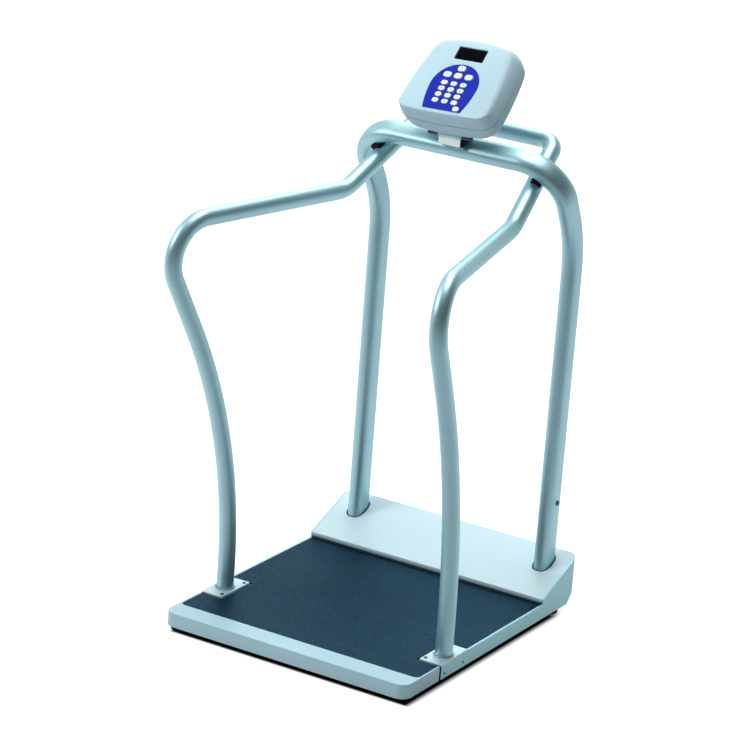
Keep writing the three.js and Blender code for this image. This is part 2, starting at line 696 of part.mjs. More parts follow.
// Head's carrier: a square sleeve standing on the crossbar, its foot cut to the crossbar's oval,
// with a round pad on top that the head's swivel plate turns on.
const plateBack = faceRise - headDepth - seat - headPlate.thickness;
const bracketTop = plateBack - seat - swivelPad.thickness;
const bracketHalfWidth = bracket.width / 2;
const bracketOutside = block(-bracketHalfWidth, bracketHalfWidth, bracket.front, bracket.rear, 0, bracketTop);
const bracketInside = block(-bracketHalfWidth + bracket.wall, bracketHalfWidth - bracket.wall,
  bracket.front + bracket.wall, bracket.rear - bracket.wall, -1, bracketTop - bracket.top);
// Its front hangs straight down from the top edge, then runs back to the sleeve's foot.
const noseLean = THREE.MathUtils.degToRad(headTilt);
const noseRear = bracket.front + bracket.wall / 2;
const bracketNose = along([
  [bracket.front, bracketTop],
  [bracket.front - bracket.noseDrop * Math.sin(noseLean), bracketTop - bracket.noseDrop * Math.cos(noseLean)],
  [noseRear, bracketTop - bracket.noseFoot],
  [noseRear, bracketTop],
], -bracketHalfWidth, bracketHalfWidth);
const boltHole = rod(swivelBolt.radius + seat, 0, plateBack, 0, swivelLead);
const padTop = rod(swivelPad.radius, bracketTop - 1, bracketTop + swivelPad.thickness, 0, swivelLead, 32);
add("head_bracket", build(
  [onCrossbar(bracketOutside), onCrossbar(bracketNose), onCrossbar(padTop)],
  [onCrossbar(bracketInside), onCrossbar(boltHole), archOutside]), brightTrim);

// Groups that place the head: tilted on the crossbar, then turned about the swivel.
const tilted = new THREE.Group();
tilted.position.set(0, crossbar.y, crossbar.height);
tilted.rotation.x = THREE.MathUtils.degToRad(headTilt);
scale.add(tilted);
const turned = new THREE.Group();
turned.position.set(0, swivelLead, 0);
turned.rotation.z = THREE.MathUtils.degToRad(headTurn);
tilted.add(turned);
// In this group z = 0 is the face, and u = 0, v = 0 the middle of its lower edge.
const head = new THREE.Group();
head.position.set(0, faceLead - swivelLead, faceRise);
turned.add(head);
const boltV = swivelLead - faceLead;

const boltHeadSeat = faceRise - headDepth + headWall + seat;
const nutTop = bracketTop - bracket.top - seat;
add("swivel_bolt", build(
  [
    rod(swivelBolt.radius, nutTop - 1, boltHeadSeat + 1, 0, swivelLead),
    rod(swivelBolt.headRadius, boltHeadSeat, boltHeadSeat + swivelBolt.headHeight, 0, swivelLead, 6),
    rod(swivelBolt.headRadius, nutTop - swivelBolt.headHeight, nutTop, 0, swivelLead, 6),
  ],
  [rod(swivelBolt.bore, 0, faceRise, 0, swivelLead)]), screwSteel, tilted);

// Lead inside the right upright, through the hollow swivel bolt into the head.
const leadTop = onCrossbar(new THREE.BufferGeometry().setFromPoints([
  new THREE.Vector3(0, swivelLead, 0),
  new THREE.Vector3(0, swivelLead, boltHeadSeat + swivelBolt.headHeight + 6),
])).attributes.position;
const leadCorner = [leadTop.getX(0), leadTop.getY(0), leadTop.getZ(0)];
const leadEnd = [leadTop.getX(1), leadTop.getY(1), leadTop.getZ(1)];
const leadLine = new BentLine([junctionBox.halfWidth + seat, uprightY, cableHeight], [
  { at: [uprightX, uprightY, cableHeight], bend: cableBend },
  archCorners[0],
  archCorners[1],
  { at: leadCorner, bend: cableBend },
], leadEnd, 15);
add("head_lead", sweep(leadLine, round(cableRadius, 6)), blackRubber);

// A closed body through rings of points that run anticlockwise, listed from back to front.
function loft(rings) {
  const count = rings[0].length;
  const positions = rings.flat().flatMap((p) => [p.x, p.y, p.z]);
  const index = [];
  for (let i = 0; i < rings.length - 1; i += 1) {
    for (let j = 0; j < count; j += 1) {
      const a = i * count + j;
      const b = i * count + ((j + 1) % count);
      index.push(a, b, b + count, a, b + count, a + count);
    }
  }
  const front = (rings.length - 1) * count;
  for (let j = 1; j < count - 1; j += 1) {
    index.push(0, j + 1, j);
    index.push(front, front + j, front + j + 1);
  }
  const geometry = new THREE.BufferGeometry();
  geometry.setAttribute("position", new THREE.Float32BufferAttribute(positions, 3));
  geometry.setIndex(index);
  return geometry;
}

// One cross-section of the head at a depth behind the face, drawn in by an inset: a rounded
// outline, wider below than above, whose four sides then bow outwards.
function headRing(section, inset, z) {
  const { bottom, top, low, high, corner, sag } = section;
  const radius = corner - inset;
  const corners = [
    [bottom - corner, low + corner, -90, 3],
    [top - corner, high - corner, 0, 5],
    [corner - top, high - corner, 90, 3],
    [corner - bottom, low + corner, 180, 5],
  ];
  const flat = [];
  for (const [u, v, start] of corners) {
    for (let i = 0; i <= 5; i += 1) {
      const angle = THREE.MathUtils.degToRad(start + 18 * i);
      flat.push([u + radius * Math.cos(angle), v + radius * Math.sin(angle)]);
    }
  }
  const points = [];
  const bow = ([u, v]) => {
    const rise = (2 * v - low - high) / (high - low);
    const half = bottom + ((top - bottom) * (v - low)) / (high - low);
    const across = u * (1 + (headSideBow * (1 - rise * rise)) / half);
    const lift = (rise > 0 ? headTopBow : sag) * rise * (1 - (u / half) ** 2);
    points.push(new THREE.Vector3(across, v + lift, z));
  };
  corners.forEach(([, , , between], corner4) => {
    for (let i = 0; i <= 5; i += 1) {
      bow(flat[6 * corner4 + i]);
    }
    const [u0, v0] = flat[6 * corner4 + 5];
    const [u1, v1] = flat[(6 * corner4 + 6) % flat.length];
    for (let i = 1; i <= between; i += 1) {
      const share = i / (between + 1);
      bow([u0 + (u1 - u0) * share, v0 + (v1 - v0) * share]);
    }
  });
  return points;
}

// Half-widths at the lower and upper edge, lowest and highest corner, corner radius, and how far
// the lower edge sags between its corners, by depth.
const headSections = [
  { z: -headDepth, bottom: 96, top: 90, low: 12, high: 183, corner: 30, sag: 9 },
  { z: -72, bottom: 106, top: 100, low: 7.5, high: 194, corner: 28, sag: 9 },
  { z: -60, bottom: 111, top: 105, low: 5, high: 199, corner: 25, sag: 8 },
  { z: -seamDepth, bottom: 112, top: 105, low: 0, high: 199, corner: 24, sag: 6 },
  { z: -10, bottom: 108, top: 95.5, low: -1.5, high: 191, corner: 22, sag: 5 },
  { z: -3, bottom: 105, top: 88.5, low: -1, high: 187.5, corner: 18, sag: 4.5 },
  { z: 0, bottom: 103, top: 81, low: 0, high: 182, corner: 15, sag: 4.5 },
];
const seamAt = headSections.findIndex((section) => section.z === -seamDepth);
const rearSections = headSections.slice(0, seamAt + 1);
const frontSections = headSections.slice(seamAt);
const wallRing = (section, z) => headRing(section, headWall, z);

// Keys: name, place on the face and half sizes.
const keys = [["key_power", -1, powerRow, functionKey]];
["left", "middle", "right"].forEach((place, i) => {
  keys.push([`key_function_${place}`, functionColumns[i], functionRow, functionKey]);
});
const keyNames = [["7", "8", "9"], ["4", "5", "6"], ["1", "2", "3"], ["clear", "0", "point"]];
numberRows.forEach((v, row) => {
  keyColumns.forEach((u, column) => {
    keys.push([`key_${keyNames[row][column]}`, u, v, numberKey]);
  });
});
keys.push(["key_enter", ...enterKey, numberKey]);
const keyPrism = (u, v, size, grow, z0, z1, sides = 12) => prism(
  new THREE.Shape(oval(size.halfWidth + grow, size.halfHeight + grow, sides, 2.4)), z0, z1).translate(u, v, 0);

// Front shell, with the window's deep surround, the key holes and four posts for the board.
const paneFront = -windowPane.recess;
const paneBack = paneFront - windowPane.thickness;
const surroundBack = paneBack - seat - windowPane.lip;
const boardFront = surroundBack - seat - displayModule.thickness - seat;
const windowBlock = (grow, z0, z1) => block(
  windowPane.u - windowPane.width / 2 - grow, windowPane.u + windowPane.width / 2 + grow,
  windowPane.v - windowPane.height / 2 - grow, windowPane.v + windowPane.height / 2 + grow, z0, z1);
const keyHoles = keys.map(([, u, v, size]) => keyPrism(u, v, size, runningGap, -2 * headWall, headWall));
const hollowFront = loft([
  wallRing({ ...frontSections[0] }, -seamDepth - 1),
  ...frontSections.slice(0, -2).map((section) => wallRing(section, section.z)),
  wallRing(frontSections[frontSections.length - 2], -headWall - 1.5),
  wallRing(frontSections[frontSections.length - 1], -headWall),
]);
let frontShell = solid(loft(frontSections.map((section) => headRing(section, 0, section.z))));
frontShell = frontShell.subtract(solid(hollowFront));
frontShell = frontShell.add(solid(windowBlock(windowPane.surround, surroundBack, -headWall / 2)));
frontShell = frontShell.subtract(solid(windowBlock(seat, paneBack - seat, 1)));
frontShell = frontShell.subtract(solid(windowBlock(-windowPane.lip, surroundBack - 1, 1)));
for (const hole of keyHoles) {
  frontShell = frontShell.subtract(solid(hole));
}
for (const u of [-standoff.u, standoff.u]) {
  for (const v of standoff.rows) {
    frontShell = frontShell.add(solid(rod(standoff.radius, boardFront + seat, -headWall / 2, u, v, 12)));
  }
}
add("head_front_shell", shaped(frontShell), headPlastic, head);

// Rear shell, open towards the front shell, with the battery opening and the bolt's hole.
const doorBlock = (grow, z0, z1) => block(-batteryDoor.halfWidth - grow, batteryDoor.halfWidth + grow,
  batteryDoor.low - grow, batteryDoor.high + grow, z0, z1);
const hollowRear = loft([
  wallRing(rearSections[0], -headDepth + headWall),
  ...rearSections.slice(1).map((section) => wallRing(section, section.z)),
  wallRing(rearSections[rearSections.length - 1], -seamDepth + 1),
]);
const rearOutside = rearSections.map((section) => headRing(section, 0, section.z));
rearOutside[rearOutside.length - 1] = headRing(rearSections[rearSections.length - 1], 0, -seamDepth - seat);
add("head_rear_shell", build([loft(rearOutside)], [
  hollowRear,
  doorBlock(seat, -headDepth - 1, -headDepth + headWall + 1),
  rod(swivelBolt.radius + seat, -headDepth - 1, -headDepth + headWall + 1, 0, boltV),
]), headPlastic, head);
add("battery_door", doorBlock(0, -headDepth, -headDepth + headWall), headPlastic, head);
const packBack = -headDepth + headWall + seat;
add("battery_pack", block(-batteryPack.halfWidth, batteryPack.halfWidth, batteryDoor.low + batteryPack.inset,
  batteryDoor.high - batteryPack.inset, packBack, packBack + batteryPack.thickness), darkPlastic, head);
const plateTopW = -headDepth - seat;
add("swivel_plate", build(
  [block(-headPlate.halfWidth, headPlate.halfWidth, headPlate.front, headPlate.rear,
    plateTopW - headPlate.thickness, plateTopW)],
  [rod(swivelBolt.radius + seat, -faceRise, 0, 0, boltV)]), darkPlastic, head);

// Display.
add("display_window", windowBlock(0, paneBack, paneFront), windowBlack, head);
add("display_module", block(
  windowPane.u - displayModule.width / 2, windowPane.u + displayModule.width / 2,
  windowPane.v - displayModule.height / 2, windowPane.v + displayModule.height / 2,
  surroundBack - seat - displayModule.thickness, surroundBack - seat), darkPlastic, head);

// Board with one dome switch under each key.
const switches = keys.map(([, u, v]) => rod(switchRadius, boardFront - 0.5, boardFront + switchHeight, u, v, 6));
add("main_board", build([
  block(-board.halfWidth, board.halfWidth, board.low, board.high, boardFront - board.thickness, boardFront),
  ...switches]), boardGreen, head);

// Keypad overlay: a dome with slightly bulging sides.
const overlayShape = new THREE.Shape();
overlayShape.moveTo(-overlay.footHalf, overlay.low);
overlayShape.lineTo(overlay.footHalf, overlay.low);
overlayShape.quadraticCurveTo(overlay.bellyHalf - 1, overlay.bellyV / 2, overlay.bellyHalf, overlay.bellyV);
overlayShape.bezierCurveTo(overlay.bellyHalf, overlay.shoulderV, overlay.shoulderHalf, overlay.high, 0, overlay.high);
overlayShape.bezierCurveTo(-overlay.shoulderHalf, overlay.high, -overlay.bellyHalf, overlay.shoulderV,
  -overlay.bellyHalf, overlay.bellyV);
overlayShape.quadraticCurveTo(1 - overlay.bellyHalf, overlay.bellyV / 2, -overlay.footHalf, overlay.low);
add("keypad_overlay", build([prism(overlayShape, seat, seat + overlayThickness, 10)],
  keys.map(([, u, v, size]) => keyPrism(u, v, size, runningGap, -1, 3))), overlayBlue, head);

// Keys: an oval cap through overlay and shell, a flange behind the wall, and a plunger.
const keyTop = seat + overlayThickness + keyProud;
const flangeTop = -headWall - seat;
const plungerEnd = boardFront + switchHeight + keyTravel + 0.2;
for (const [name, u, v, size] of keys) {
  add(name, build([
    keyPrism(u, v, size, 0, flangeTop - 0.5, keyTop),
    keyPrism(u, v, size, keyFlange, flangeTop - 1.5, flangeTop),
    rod(plungerRadius, plungerEnd, flangeTop - 1, u, v, 6),
  ]), keyWhite, head);
}

// Origin under the middle of the outline.
scale.updateMatrixWorld(true);
const outline = new THREE.Box3().setFromObject(scale, true);
scale.position.y = -(outline.min.y + outline.max.y) / 2;

export default scale;
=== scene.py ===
"""Bariatric platform scale with handrails: smooth tubes, shells, keys and finishes round its CAD frame."""

from functools import partial
from math import acos, cos, pi, radians, sin

import bmesh
import bpy
import numpy as np
from bpy.props import FloatProperty, FloatVectorProperty, IntProperty, PointerProperty
from mathutils import Matrix, Vector
from mathutils.geometry import delaunay_2d_cdt


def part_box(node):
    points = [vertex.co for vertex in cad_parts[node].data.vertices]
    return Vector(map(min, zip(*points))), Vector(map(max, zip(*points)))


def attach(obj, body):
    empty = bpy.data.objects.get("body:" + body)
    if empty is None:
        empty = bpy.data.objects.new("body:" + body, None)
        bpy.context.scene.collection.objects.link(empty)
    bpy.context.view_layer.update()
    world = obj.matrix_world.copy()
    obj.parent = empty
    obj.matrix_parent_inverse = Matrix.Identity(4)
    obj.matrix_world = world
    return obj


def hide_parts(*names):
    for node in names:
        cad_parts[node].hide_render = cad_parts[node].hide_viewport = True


bl_info = {
    "name": "Bariatric Scale",
    "version": (1, 0, 0),
    "blender": (4, 5, 0),
    "location": "3D View > Sidebar > Scale",
    "description": "Dresses the frame of a platform scale with tubes, shells, keys and finishes",
    "category": "Object",
}

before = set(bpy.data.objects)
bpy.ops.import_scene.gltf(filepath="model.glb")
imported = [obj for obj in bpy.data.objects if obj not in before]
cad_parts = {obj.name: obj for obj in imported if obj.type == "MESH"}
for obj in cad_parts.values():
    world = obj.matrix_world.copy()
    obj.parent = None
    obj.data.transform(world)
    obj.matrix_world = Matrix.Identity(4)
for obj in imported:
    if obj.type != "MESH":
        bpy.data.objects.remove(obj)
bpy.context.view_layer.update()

MM = 0.001
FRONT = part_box("front_trim")[0].y          # depths below count from the platform's front face
STAND, HEAD = "stand", "display_head"      # bodies
SIDES = (("right", 1), ("left", -1))
SEAT = 0.3                                 # gap between fitted parts, in mm
MERGE = 2e-6                               # points closer than this, in metres, are one
BEND_STEP, BEND_LENGTH = 3, 30             # most degrees and mm between sections on a bend

# Tubes: corners of the right handrail and of the upright frame, with the bend at each, in mm
RAIL_START = (279.3, 195.2, 46.4)
RAIL_CORNERS = [
    ((279.3, 195.2, 400.3), 1198),
    ((332.4, -71.1, 908.6), 88),
    ((207.8, 465, 910.6), 90),
    ((166.7, 708.2, 1047.2), 42),
]
UPRIGHT_X, UPRIGHT_Y, UPRIGHT_FOOT = 244.9, 684.5, 37.3
LEAN_START, LEAN_BEND = 842.6, 250
SHOULDER_X, SHOULDER_BEND = 254.5, 96
CROSSBAR_Y, CROSSBAR_Z = 572.2, 1029.9
UPRIGHT_POWER = 2.55                       # how flat the oval tube's sides are

# Places of the wheels, the dark strips of painted seam shade and screws, in mm
WHEEL_X = 215
SEAM_SHADE_X = (298.5, 304)
PLATE_SCREW_X, PLATE_SCREW_Y = 259, (153.5, 240.7)
PANEL_SCREW_X, PANEL_SCREW_Y, PANEL_SCREW_Z = 305, (159, 236), 22
LOCK_SCREW_X, LOCK_SCREW_Z = UPRIGHT_X + 19.3, 244.6

# Display head: its place on the crossbar, and its outline at depths behind the face
HEAD_TILT, HEAD_TURN = 39.4, 2.2
FACE_RISE, FACE_LEAD, SWIVEL_LEAD = 127.8, -11.5, 4
HEAD_DEPTH, HEAD_SEAM, HEAD_WALL = 79.5, 38.0, 2.5
HEAD_TOP_BOW, HEAD_SIDE_BOW = 14, 6
HEAD_STATIONS = [  # depth, half-width low and high, lowest and highest corner, corner radius, lower sag
    (-79.5, 96, 90, 12, 183, 30, 9),
    (-77, 103, 97, 9, 190, 29.5, 9),
    (-72, 107, 101, 7, 195, 28, 9),
    (-60, 111, 105, 5, 199, 25, 8),
    (-38, 112, 105, 0, 199, 24, 6),
    (-22, 110.5, 101.5, -1, 196.5, 23, 5.5),
    (-10, 108, 95.5, -1.5, 191.5, 22, 5),
    (-5, 106.5, 91.5, -1.4, 189, 20, 4.7),
    (-2, 104.8, 87, -0.8, 186, 17.5, 4.5),
    (0, 102, 80.5, 0.6, 181.5, 15, 4.5),
]
WINDOW = (-33.7, 35.3, 144.5, 179.5)       # its sides, across and up the face
DOOR = (-55, 55, 104, 156)                 # its sides, across and up the back
LEDGE_WIDTH, LEDGE_DEPTH = 3.0, -5         # of the ledge that the window sits on

# Keypad: name, centre on the face and half sizes of each key, and the shapes round it
NUMBER_KEY, FUNCTION_KEY = (8.2, 6.5), (10.3, 8.2)
KEYS = [("power", -1, 119.5, FUNCTION_KEY)]
KEYS += [(f"function_{n}", u, 99, FUNCTION_KEY)
         for n, u in zip(("left", "middle", "right"), (-26.6, -1, 24.6))]
for row, v in zip(("789", "456", "123", ("clear", "0", "point")), (76.5, 60.1, 43.7, 27.3)):
    KEYS += [(name, u, v, NUMBER_KEY) for name, u in zip(row, (-23.8, -1, 21.8))]
KEYS.append(("enter", 32.9, 12.1, NUMBER_KEY))
OPENING_GAP, OPENING_POWER = 0.5, 2.4
CAP_SHARE, CAP_POWER = 0.88, 2.8           # a cap's foot within its key's half sizes

# Stage, in metres: half width of the floor, and the camera's place and its ways right, up and back
FLOOR_REACH = 40.0
CAMERA_PLACE = (3.4147, -5.8667, 2.8252)
CAMERA_AXES = (0.84792, 0.52513, 0.07243), (-0.22571, 0.23402, 0.94567), (0.47966, -0.81821, 0.31697)

Colour = partial(FloatVectorProperty, subtype="COLOR", min=0, max=1)
Share = partial(FloatProperty, subtype="FACTOR", min=0, max=1)
Length = partial(FloatProperty, unit="LENGTH", subtype="DISTANCE")
Power = partial(FloatProperty, unit="POWER", min=0)


class Link:
    """One shader socket. Arithmetic on it adds Math nodes and gives the result's socket."""

    def __init__(self, tree, socket):
        self.tree = tree
        self.socket = socket

    def __add__(self, other):
        return self.tree.math("ADD", self, other)

    def __sub__(self, other):
        return self.tree.math("SUBTRACT", self, other)

    def __rsub__(self, other):
        return self.tree.math("SUBTRACT", other, self)

    def __mul__(self, other):
        return self.tree.math("MULTIPLY", self, other)

    def __abs__(self):
        return self.tree.math("ABSOLUTE", self, 0)

    __radd__ = __add__
    __rmul__ = __mul__

    def ease(self, low, high):
        """0 below low, 1 above high, smooth between."""
        return self.tree.add("ShaderNodeMapRange", {"interpolation_type": "SMOOTHSTEP"},
                             {"Value": self, "From Min": low, "From Max": high})


class Tree:
    """Nodes of a material or of the surround, added one by one."""

    def __init__(self, tree):
        self.nodes = tree.nodes
        self.links = tree.links

    def add(self, kind, settings, inputs, output=0):
        """Adds a node: its settings, then the values or links of its sockets. Gives one output."""
        node = self.nodes.new(kind)
        for key, value in settings.items():
            setattr(node, key, value)
        for key, value in inputs.items():
            self.feed(node.inputs[key], value)
        return Link(self, node.outputs[output])

    def feed(self, socket, value):
        """Links a socket, or gives it a plain value."""
        if isinstance(value, Link):
            self.links.new(value.socket, socket)
        else:
            socket.default_value = value

    def math(self, operation, left, right):
        return self.add("ShaderNodeMath", {"operation": operation}, {0: left, 1: right})

    def rays(self):
        """1 for rays that see the background straight or through glass, and 1 for those of a gloss."""
        straight, through, gloss = [self.add("ShaderNodeLightPath", {}, {}, f"Is {kind} Ray")
                                    for kind in ("Camera", "Transmission", "Glossy")]
        return straight + through, gloss

    def axes(self, kind="Object"):
        """The three parts of a coordinate, of the object's own in metres where no other is named."""
        place = self.add("ShaderNodeTexCoord", {}, {}, kind)
        node = self.add("ShaderNodeSeparateXYZ", {}, {"Vector": place}).socket.node
        return [Link(self, node.outputs[axis]) for axis in "XYZ"]


class Finish(Tree):
    """A material made of nodes around one Principled shader."""

    def __init__(self, name, **plain):
        self.material = bpy.data.materials.new(name)
        self.material.use_nodes = True
        super().__init__(self.material.node_tree)
        self.shader = self.nodes["Principled BSDF"]
        self.wear(**plain)

    def place(self, stretch=(1, 1, 1), map_name=None):
        """Object coordinates, or the piece's own UV map, stretched."""
        if map_name:
            source = self.add("ShaderNodeUVMap", {"uv_map": map_name}, {})
        else:
            source = self.add("ShaderNodeTexCoord", {}, {}, "Object")
        return self.add("ShaderNodeMapping", {}, {"Vector": source, "Scale": stretch})

    def noise(self, often, detail=2.0, roughness=0.5, map_name=None):
        """Noise with so many swells to the metre, in all directions or one number for each."""
        place = self.place(often if isinstance(often, tuple) else (often,) * 3, map_name)
        return self.add("ShaderNodeTexNoise", {}, {
            "Vector": place, "Scale": 1.0, "Detail": detail, "Roughness": roughness}, "Fac")

    def mix(self, first, second, share):
        """Colour between two, by a share."""
        return self.add("ShaderNodeMix", {"data_type": "RGBA"}, {0: share, 6: first, 7: second}, 2)

    def bump(self, height, distance, strength):
        return self.add("ShaderNodeBump", {}, {
            "Height": height, "Distance": distance, "Strength": strength})

    def wear(self, **sockets):
        """Feeds the shader's sockets and gives the material."""
        for socket, value in sockets.items():
            self.feed(self.shader.inputs[socket.replace("_", " ")], value)
        return self.material


def colour(rgb, factor):
    """A colour made darker or lighter, with its alpha."""
    return (*(part * factor for part in rgb), 1)


def satin_tube(look):
    """Bent tube: grain drawn along the tube, faint cloudiness, and a few soft rub marks."""
    f = Finish("satin_tube", Metallic=look.tube_metal)
    drawn = f.noise((9, 900, 1), 3.0, map_name="run")
    cloud = f.noise(7, 3.0)
    rub = f.noise((60, 60, 25), 4.0, 0.7).ease(0.66, 0.78)
    tone = f.mix(colour(look.tube, 0.93), colour(look.tube, 1.06), cloud)
    return f.wear(
        Base_Color=f.mix(tone, colour(look.tube, 0.86), rub * 0.35),
        Roughness=look.tube_roughness - 0.05 + drawn * 0.08 + rub * 0.1,
        Normal=f.bump(drawn, 0.00002, 0.6))


def painted(name, rgb, roughness, metal, peel=0.00005):
    """Sprayed metal: orange-peel ripple, slow tone drift and a trace of dust."""
    f = Finish(name, Metallic=metal, Specular_IOR_Level=0.2)
    ripple = f.noise(420)
    drift = f.noise(5, 3.0)
    speck = f.noise(900, 1.0).ease(0.62, 0.74)
    tone = f.mix(colour(rgb, 0.96), colour(rgb, 1.03), drift)
    return f.wear(
        Base_Color=f.mix(tone, colour(rgb, 0.82), speck * 0.05),
        Roughness=roughness + ripple * 0.06 + speck * 0.1,
        Normal=f.bump(ripple, peel, 0.5))


def moulded(name, rgb, roughness, grain=0.00006):
    """Moulded plastic: spark-eroded grain and a faint handling sheen."""
    f = Finish(name, Specular_IOR_Level=0.15)
    pits = f.noise(700)
    handled = f.noise(18, 3.0)
    return f.wear(
        Base_Color=f.mix(colour(rgb, 0.86), colour(rgb, 1.1), pits * 0.8 + handled * 0.2),
        Roughness=roughness + pits * 0.08 - handled * 0.05,
        Normal=f.bump(pits, grain, 0.6))


def mat_rubber(look):
    """Mat: close pebble grain with painted shade in its hollows, and lighter scuffs where feet land."""
    f = Finish("mat_rubber", Metallic=0.75, Specular_Tint=(0.42, 0.55, 0.6, 1))
    x, y, _ = f.axes()
    pebble = f.add("ShaderNodeTexVoronoi", {"feature": "F1"},
                   {"Vector": f.place(), "Scale": 300.0}, "Distance")
    soft = f.noise(7, 4.0)
    scuff = f.noise((90, 34, 1), 5.0, 0.7)
    tread = (1 - abs(x).ease(0.104, 0.26)) * (1 - abs(y + 0.03).ease(0.104, 0.26))
    grit = f.noise(170).ease(0.35, 0.65)
    dark = f.mix(colour(look.mat, 0.7), colour(look.mat, 1.3), soft * 0.3 + grit * 0.7)
    worn = f.mix(dark, colour(look.mat, 1.35), scuff.ease(0.5, 0.85) * tread * 0.5)
    return f.wear(
        # painted shade: the hollows of the pebble grain are darkened to a deeper tone of the mat
        Base_Color=f.mix(worn, colour(look.mat, 0.4), pebble.ease(0.3, 0.8) * 0.8),
        Roughness=look.mat_roughness + pebble * 0.1 + scuff * tread * 0.08,
        Normal=f.bump(pebble, 0.0009, 0.9))


def rubber(name, rgb):
    """Plain moulded rubber: matt, with bloom in patches."""
    f = Finish(name, Specular_IOR_Level=0.1)
    bloom = f.noise(60, 4.0)
    fine = f.noise(1200, 1.0)
    return f.wear(
        Base_Color=f.mix(colour(rgb, 0.8), colour(rgb, 1.5), bloom),
        Roughness=0.75 + fine * 0.1,
        Normal=f.bump(fine, 0.00004, 0.6))


def machined(name, rgb, roughness=0.32, metal=0.9):
    """Machined or plated metal: turning marks and slight stain."""
    f = Finish(name, Metallic=metal)
    marks = f.noise((2600, 300, 300))
    stain = f.noise(45, 4.0)
    return f.wear(
        Base_Color=f.mix(colour(rgb, 0.85), colour(rgb, 1.05), stain),
        Roughness=roughness + marks * 0.12,
        Normal=f.bump(marks, 0.00002, 0.4))


def galvanised():
    """Zinc-coated sheet: crystals of slightly different grey."""
    f = Finish("galvanised", Metallic=0.7)
    crystal = f.add("ShaderNodeTexVoronoi", {"feature": "F1"},
                    {"Vector": f.place(), "Scale": 95.0}, "Color")
    grey = f.add("ShaderNodeRGBToBW", {}, {"Color": crystal})
    return f.wear(
        Base_Color=f.mix((0.26, 0.3, 0.32, 1), (0.42, 0.47, 0.49, 1), grey),
        Roughness=0.42 + grey * 0.15)


def overlay_film(look):
    """Printed film on the keypad: deep blue under a lightly pebbled clear face."""
    f = Finish("overlay_film", Specular_IOR_Level=0.15)
    pebble = f.noise(1500)
    ink = f.noise(40)
    return f.wear(
        Base_Color=f.mix(colour(look.keypad, 0.9), colour(look.keypad, 1.08), ink),
        Roughness=0.42 + pebble * 0.1,
        Normal=f.bump(pebble, 0.00003, 0.4))


def smoked_window():
    """Smoked acrylic with a slight smear of fingerprints."""
    f = Finish("smoked_window", Specular_IOR_Level=0.05)
    smear = f.noise((55, 140, 55), 4.0, 0.6).ease(0.5, 0.8)
    return f.wear(
        Base_Color=f.mix((0.001, 0.0015, 0.003, 1), (0.004, 0.008, 0.016, 1), smear),
        Roughness=0.12 + smear * 0.22)


def ribbed_strip(front, rear):
    """Grey strip with a fine grain and painted light and shade: pale on the crest of each rib, dark in the
    grooves between.
    """
    f = Finish("strip_grey", Specular_IOR_Level=0.2)
    _, y, _ = f.axes()
    grain = f.noise(600)
    wave = f.math("SINE", (y - front) * (3 * pi / (rear - front)), 0)
    # painted light and shade: the ribs' crests pale, the grooves between them near black
    rib_light_and_shade = abs(wave).ease(0.45, 0.8)
    return f.wear(
        Base_Color=f.mix((0.008, 0.022, 0.03, 1), (0.3, 0.45, 0.5, 1), rib_light_and_shade * 0.85 + grain * 0.15),
        Roughness=0.45 + grain * 0.1)


def bracket_metal():
    """Head carrier: pale satin plate in front, black painted shade on its two cheeks."""
    f = Finish("bracket_metal", Metallic=0.05)
    x, _, _ = f.axes()
    fine = f.noise(800)
    # painted shade: the cheeks either side of the pale front plate are black
    painted_cheek_shade = abs(x).ease(0.0268, 0.0272)
    pale = f.mix((0.9, 0.97, 0.99, 1), (0.95, 1, 1, 1), fine)
    return f.wear(
        Base_Color=f.mix(pale, (0.006, 0.008, 0.01, 1), painted_cheek_shade),
        Roughness=0.4 + fine * 0.1 + painted_cheek_shade * 0.2,
        Normal=f.bump(fine, 0.00003, 0.5))


def swivel_finish(look):
    """Swivel plate: dark teal with a pale middle over the bracket."""
    f = Finish("swivel_finish", Specular_IOR_Level=0.2)
    x, _, _ = f.axes()
    grain = f.noise(700)
    ends = abs(x).ease(0.028, 0.029)
    return f.wear(
        Base_Color=f.mix(colour(look.shell, 1.1), (0.03, 0.07, 0.085, 1), ends * (0.92 + grain * 0.08)),
        Roughness=0.5 + grain * 0.08)


def at(points):
    """Millimetres, with depth from the platform's front face, to the row frame in metres."""
    points = np.asarray(points, float) * MM
    points[..., 1] += FRONT
    return points


def on_head(points):
    """Head coordinates (across, up the face, out of the face) to the row frame: swivelled about
    the bolt, tilted about X, then set on the crossbar."""
    u, v, w = np.moveaxis(np.asarray(points, float), -1, 0)
    turn, tilt = radians(HEAD_TURN), radians(HEAD_TILT)
    v, w = v + FACE_LEAD - SWIVEL_LEAD, w + FACE_RISE
    x = u * cos(turn) - v * sin(turn)
    y = u * sin(turn) + v * cos(turn) + SWIVEL_LEAD
    return at(np.stack([x, CROSSBAR_Y + y * cos(tilt) - w * sin(tilt),
                        CROSSBAR_Z + y * sin(tilt) + w * cos(tilt)], -1))


def superellipse(half_x, half_y, count, power=2.0):
    """Points of |x / half x|^power + |y / half y|^power = 1, by angle."""
    t = np.linspace(0, 2 * pi, count, endpoint=False)
    c, s = np.cos(t), np.sin(t)
    return np.stack([half_x * np.sign(c) * np.abs(c) ** (2 / power),
                     half_y * np.sign(s) * np.abs(s) ** (2 / power)], -1)


def loft(rings, capped=True, uv=None):
    """A surface through rings (rows, columns, 3): point = ring(row)[column]. Its first column is
    repeated at the end so that a UV map can run round it, and merging doubles closes it."""
    rings = np.asarray(rings, float)
    rows, columns = rings.shape[:2]
    rings = np.concatenate([rings, rings[:, :1]], 1)
    index = np.arange(rows * (columns + 1)).reshape(rows, columns + 1)
    quads = np.stack([index[:-1, :-1], index[:-1, 1:], index[1:, 1:], index[1:, :-1]], -1)
    faces = quads.reshape(-1, 4).tolist()
    if capped:
        faces += [index[0, :columns][::-1].tolist(), index[-1, :columns].tolist()]
    return rings.reshape(-1, 3), faces, uv


